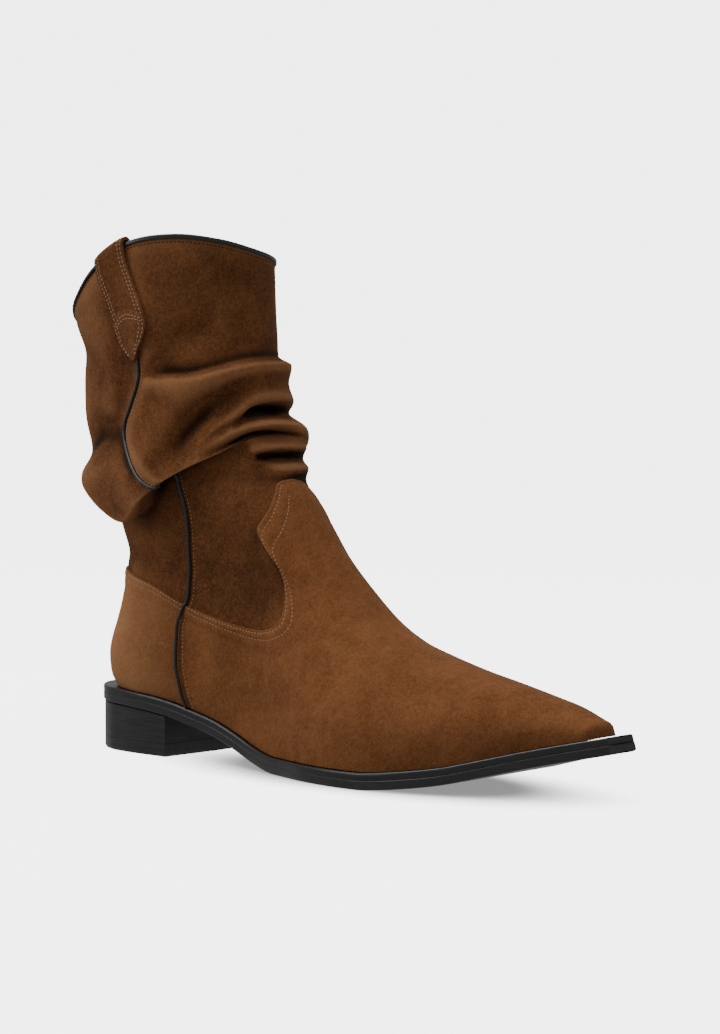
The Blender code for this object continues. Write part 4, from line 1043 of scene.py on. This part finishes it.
def stitches(name, lines, material, pitch=STITCH_PITCH, length=STITCH_LENGTH, width=STITCH_WIDTH):
    """One mesh of equal stitches along lines of points with their normals."""
    bpy.ops.object.select_all(action="DESELECT")
    bpy.ops.mesh.primitive_uv_sphere_add(segments=7, ring_count=5, radius=0.5)
    grain = bpy.context.object
    verts = np.array([vertex.co[:] for vertex in grain.data.vertices])
    faces = [tuple(face.vertices) for face in grain.data.polygons]
    bpy.data.objects.remove(grain)
    all_verts = []
    all_faces = []
    for points, outward in lines:
        run = np.concatenate([[0], np.cumsum(np.linalg.norm(np.diff(points, axis=0), axis=-1))])
        count = max(int(run[-1] / pitch), 1)
        for place in (np.arange(count) + 0.5) * run[-1] / count:
            at, ahead, up = (
                np.array([np.interp(place + shift, run, line[:, k]) for k in range(3)])
                for shift, line in ((0, points), (length / 2, points), (0, outward))
            )
            forward = ahead - at
            forward /= max(np.linalg.norm(forward), 1e-9)
            up = up - forward * np.dot(up, forward)
            up /= np.linalg.norm(up)
            side = np.cross(up, forward)
            shaped = verts * [width, width * 0.8, length]
            first = sum(len(block) for block in all_verts)
            all_verts.append(at - up * STITCH_SUNK + shaped @ np.array([side, up, forward]) - ORIGIN)
            all_faces += [tuple(first + i for i in face) for face in faces]
    mesh = bpy.data.meshes.new(name)
    mesh.from_pydata(np.concatenate(all_verts).tolist(), [], all_faces)
    mesh.shade_smooth()
    piece = bpy.data.objects.new(name, mesh)
    bpy.context.scene.collection.objects.link(piece)
    mesh.materials.append(material)
    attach(piece, "root")
    return piece


tan_thread = thread("thread_tan", (0.52, 0.33, 0.21))
black_thread = thread("thread_black", (0.012, 0.010, 0.010))
wave_lines = []
for depth in ROW_DEPTHS:
    share = np.linspace(0.0, 1.0, 1600)
    turn, level = overlay_spot(share, np.full_like(share, depth))
    kept = np.abs(turn - 1) > 0.06
    for side in (share < 0.5, share >= 0.5):
        spots = kept & side
        lift = overlay_lift(np.full(spots.sum(), depth))
        face = raised(turn[spots], level[spots], lift)
        wave_lines.append((face, normals(outside, turn[spots], level[spots])))
stitches("stitches_wave", wave_lines, tan_thread)

# The collar binding: a narrow strip of black leather folded over the rim and stitched through.
BINDING_THICKNESS = 0.0008
BINDING_DEPTH = 0.0010
BINDING_GAP = 0.00008
BINDING_STITCH = 0.0020


def binding_sheet(u, v):
    turn = u * 2
    rim = outside(turn, np.full_like(turn, 2.0))
    out = normals(outside, turn, np.full_like(turn, 2.0)) * np.array([1.0, 1.0, 0.0])
    out /= np.linalg.norm(out, axis=-1, keepdims=True)
    hem = 2 - BINDING_DEPTH / 0.11
    body = WALL / 2 + BINDING_GAP + BINDING_THICKNESS
    angle = np.clip((v - 0.2) / 0.4, 0, 1) * np.pi
    reach = -WALL / 2 + body * np.cos(angle)
    rise = body * 0.40 * np.sin(angle)
    points = rim + out * reach[:, None] + np.array([0, 0, 1.0]) * rise[:, None]
    outer_hem = raised(turn, hem, BINDING_GAP + BINDING_THICKNESS)
    inner_hem = raised(turn, hem, -WALL - BINDING_GAP - BINDING_THICKNESS)
    tuck_out = raised(turn, hem, -0.0002)
    tuck_in = raised(turn, hem, -WALL + 0.0002)
    first = np.clip(v / 0.2, 0, 1)[:, None]
    low = np.where(first < 0.35, tuck_out + (outer_hem - tuck_out) * np.sqrt(first / 0.35), outer_hem)
    rolled = low + (points - outer_hem) * ((first - 0.35) / 0.65).clip(0, 1)
    points = np.where((v < 0.2)[:, None], rolled, points)
    last = np.clip((v - 0.6) / 0.2, 0, 1)[:, None]
    end = rim - out * (WALL / 2 + body)
    points = np.where((v > 0.6)[:, None], end + (inner_hem - end) * last, points)
    back = np.clip((v - 0.8) / 0.2, 0, 1)[:, None]
    points = np.where((v > 0.8)[:, None], inner_hem + (tuck_in - inner_hem) * back, points)
    return points


binding_leather = black_finish("binding_leather", (0.011, 0.0105, 0.011), 0.36, (1, 1, 1))
binding = shaped_grid("collar_binding_leather", 360, 30, binding_sheet)
binding.data.materials.append(binding_leather)
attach(binding, "root")
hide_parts("collar_binding")
turn = np.linspace(0, 2, 900)
level = np.full_like(turn, 2 - BINDING_STITCH / 0.11)
rim_line = (raised(turn, level, 0.0), normals(outside, turn, level))
stitches("stitches_collar", [rim_line], black_thread, 0.0018, 0.0012, 0.0005)

# The pull straps: a suede band over each side of the collar, turned at the edges, sewn down with two
# rows on each side, its lower end cut to a point and covered by a sewn shield.
STRAP_WIDTH = 0.0190
STRAP_THICKNESS = 0.0015
STRAP_INSIDE = 0.030
STRAP_CREST = 0.0026
Strap = namedtuple("Strap", "turn level width")
STRAP = [
    Strap(0.508, 2.000, 1.00),
    Strap(0.514, 1.940, 1.00),
    Strap(0.540, 1.862, 1.00),
    Strap(0.560, 1.792, 1.00),
    Strap(0.566, 1.748, 0.98),
    Strap(0.564, 1.706, 0.82),
    Strap(0.563, 1.672, 0.55),
    Strap(0.566, 1.645, 0.28),
    Strap(0.569, 1.626, 0.03),
]
STRAP_OUTSIDE = 0.60


def strap_place(across, down, extra, mirrored):
    """Point on a strap: across -1 to 1, down 0 at the pointed tip to 1 at its inner end."""
    steps = np.arange(len(STRAP))
    spot = (len(STRAP) - 1) * (1 - np.clip(down / STRAP_OUTSIDE, 0, 1))
    turn, level, width = (smooth(steps, column(STRAP, name), spot) for name in Strap._fields)
    level = np.where(down > STRAP_OUTSIDE, 2.0, level)
    girth = np.linalg.norm(outside(turn + 1e-3, level) - outside(turn - 1e-3, level), axis=-1) / 2e-3
    turn = turn + across * width * STRAP_WIDTH / 2 / girth
    turn = 2 - turn if mirrored else turn
    crowned = extra + 0.0003 * (1 - across ** 4)
    near_rim = np.clip((level - 1.88) / 0.11, 0, 1) ** 2
    low = STRAP_THICKNESS * 0.5
    high = BINDING_GAP + BINDING_THICKNESS + STRAP_THICKNESS * 0.6
    points = raised(turn, level, low + (high - low) * near_rim + crowned)
    rim = outside(turn, np.full_like(turn, 2.0))
    out = normals(outside, turn, np.full_like(turn, 2.0)) * np.array([1.0, 1.0, 0.0])
    out /= np.linalg.norm(out, axis=-1, keepdims=True)
    turned = np.clip((down - STRAP_OUTSIDE) / 0.14, 0, 1) * np.pi
    body = WALL / 2 + high + crowned
    over = rim + out * (-WALL / 2 + body * np.cos(turned))[:, None]
    over[:, 2] += (STRAP_CREST + crowned) * np.sin(turned)
    points = np.where((down > STRAP_OUTSIDE)[:, None], over, points)
    inside = np.clip((down - STRAP_OUTSIDE - 0.14) / (1 - STRAP_OUTSIDE - 0.14), 0, 1)
    inner_level = 2 - inside * STRAP_INSIDE / 0.105
    gap = -WALL - low - (high - low) * np.clip(1 - inside * 3, 0, 1) ** 2
    points = np.where((down > STRAP_OUTSIDE + 0.14)[:, None], raised(turn, inner_level, gap), points)
    return points


SHIELD_LIFT = 0.0011
SHIELD_THICKNESS = 0.0009
SHIELD_REACH = 0.345
SHIELD_ARCH = 0.045


def shield_top(across):
    """How far up the strap the sewn shield reaches: its top edge is an arch."""
    return SHIELD_REACH + SHIELD_ARCH * (1 - across ** 2)


def thicken(piece, thickness):
    """Gives an open sheet its leather's thickness, half to each side."""
    bpy.ops.object.modifier_add(type="SOLIDIFY")
    solidify = piece.modifiers[-1]
    solidify.thickness = thickness
    solidify.offset = 0
    bpy.ops.object.modifier_apply(modifier=solidify.name)
    piece.data.shade_smooth()
    piece.data.set_sharp_from_angle(angle=0.9)


shield_suede = suede("suede_shield", (0.060, 0.020, 0.0060), (0.300, 0.125, 0.050), (0.42, 0.20, 0.090))
strap_suede = suede("suede_strap", (0.046, 0.014, 0.0040), (0.255, 0.100, 0.036), (0.42, 0.20, 0.090))
for side, mirrored, node in (("outer", False, "pull_strap_outer"), ("inner", True, "pull_strap_inner")):
    strap = shaped_grid(
        "pull_strap_" + side + "_suede", 22, 150, lambda u, v: strap_place(2 * u - 1, v, 0.0, mirrored)
    )
    thicken(strap, STRAP_THICKNESS)
    strap.data.materials.append(strap_suede)
    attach(strap, "root")
    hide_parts(node)
    shield = shaped_grid("shield_" + side, 22, 40, lambda u, v: strap_place(
        (2 * u - 1) * 0.97, 0.012 + v * shield_top(2 * u - 1), SHIELD_LIFT, mirrored
    ))
    thicken(shield, SHIELD_THICKNESS)
    shield.data.materials.append(shield_suede)
    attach(shield, "root")
    strap_lines = []
    for inset in (0.012, 0.030):
        across = np.linspace(-0.84, 0.84, 60)
        line = strap_place(across, shield_top(across) - inset, SHIELD_LIFT + SHIELD_THICKNESS / 2, mirrored)
        outward = normals(outside, np.full(60, 1.45 if mirrored else 0.55), np.full(60, 1.84))
        strap_lines.append((line, outward))
    down = np.linspace(0.08, STRAP_OUTSIDE + 0.06, 300)
    for inset in (0.0012, 0.0028):
        for edge in (-1, 1):
            across = edge * (1 - inset / (STRAP_WIDTH / 2))
            on_shield = np.where(down < SHIELD_REACH, SHIELD_LIFT - SHIELD_THICKNESS / 3, 0.0)
            lift = STRAP_THICKNESS / 2 + on_shield
            line = strap_place(np.full_like(down, across), down, lift, mirrored)
            beside = strap_place(np.full_like(down, across) - 0.05, down, lift, mirrored)
            along = np.gradient(line, axis=0)
            outward = np.cross(line - beside, along) * (-1 if mirrored else 1)
            outward /= np.linalg.norm(outward, axis=-1, keepdims=True)
            flip = np.sign((outward * (line - line.mean(0) * [1, 0, 1])).sum(-1).mean())
            strap_lines.append((line, outward * flip))
    stitches("stitches_strap_" + side, strap_lines, tan_thread)

# The piping: a fine cord covered in black leather, caught in the side seams. One runs from the strap's
# point down to the lobe, the other from under the folds down to the sole.
PIPING_RADIUS = 0.00078
PIPING_SUNK = 0.00015
FOOT_SEAM = [
    Seam(0.612, 1.100),
    Seam(0.600, 1.030),
    Seam(0.570, 0.932),
    Seam(0.474, 0.776),
    Seam(0.412, 0.654),
    Seam(0.366, 0.548),
    Seam(0.324, 0.430),
    Seam(0.304, 0.312),
    Seam(0.294, 0.174),
    Seam(0.290, 0.048),
    Seam(0.287, 0.008),
]
piping_leather = black_finish("piping_leather", (0.012, 0.0115, 0.012), 0.30, (1, 1, 1))


def edge_depth(turn, level):
    """Depth below the overlay's edge, negative above it, near the side seams."""
    half = 1 - np.abs(turn % 2 - 1)
    rows = [row for row in OVERLAY if row.turn <= 0.72]
    edge = smooth([row.turn for row in rows], [row.level for row in rows], half)
    return (edge - level) * LEVEL_HEIGHT


for part, seam, node in (("shaft", SHAFT_SEAM, "piping_shaft_"), ("foot", FOOT_SEAM, "piping_foot_")):
    for side, mirrored in (("outer", False), ("inner", True)):
        steps = np.arange(len(seam))
        spots = np.linspace(0, len(seam) - 1, 160)
        turn = smooth(steps, column(seam, "turn"), spots)
        level = smooth(steps, column(seam, "level"), spots)
        depth = edge_depth(turn, level)
        lift = np.where(part == "foot", OVERLAY_THICKNESS * np.clip(depth / 0.0012 + 0.5, 0, 1), 0.0)
        turn = 2 - turn if mirrored else turn
        points = raised(turn, level, lift + PIPING_RADIUS - PIPING_SUNK) - ORIGIN
        curve = bpy.data.curves.new("piping", "CURVE")
        curve.dimensions = "3D"
        curve.bevel_depth = PIPING_RADIUS
        curve.bevel_resolution = 3
        curve.use_fill_caps = True
        spline = curve.splines.new("POLY")
        spline.points.add(len(points) - 1)
        for point, place in zip(spline.points, points):
            point.co = (*place, 1.0)
        cord = bpy.data.objects.new("piping_" + part + "_" + side + "_cord", curve)
        bpy.context.scene.collection.objects.link(cord)
        bpy.ops.object.select_all(action="DESELECT")
        cord.select_set(True)
        bpy.context.view_layer.objects.active = cord
        bpy.ops.object.convert(target="MESH")
        cord.data.shade_smooth()
        cord.data.materials.append(piping_leather)
        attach(cord, "root")
        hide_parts(node + side)
        beside = turn + (0.0125 if not mirrored else -0.0125)
        hem_line = (raised(beside, level, lift), normals(outside, beside, level))
        name = "stitches_seam_" + part + "_" + side
        stitches(name, [hem_line], tan_thread, 0.0017, 0.0009, 0.0004)
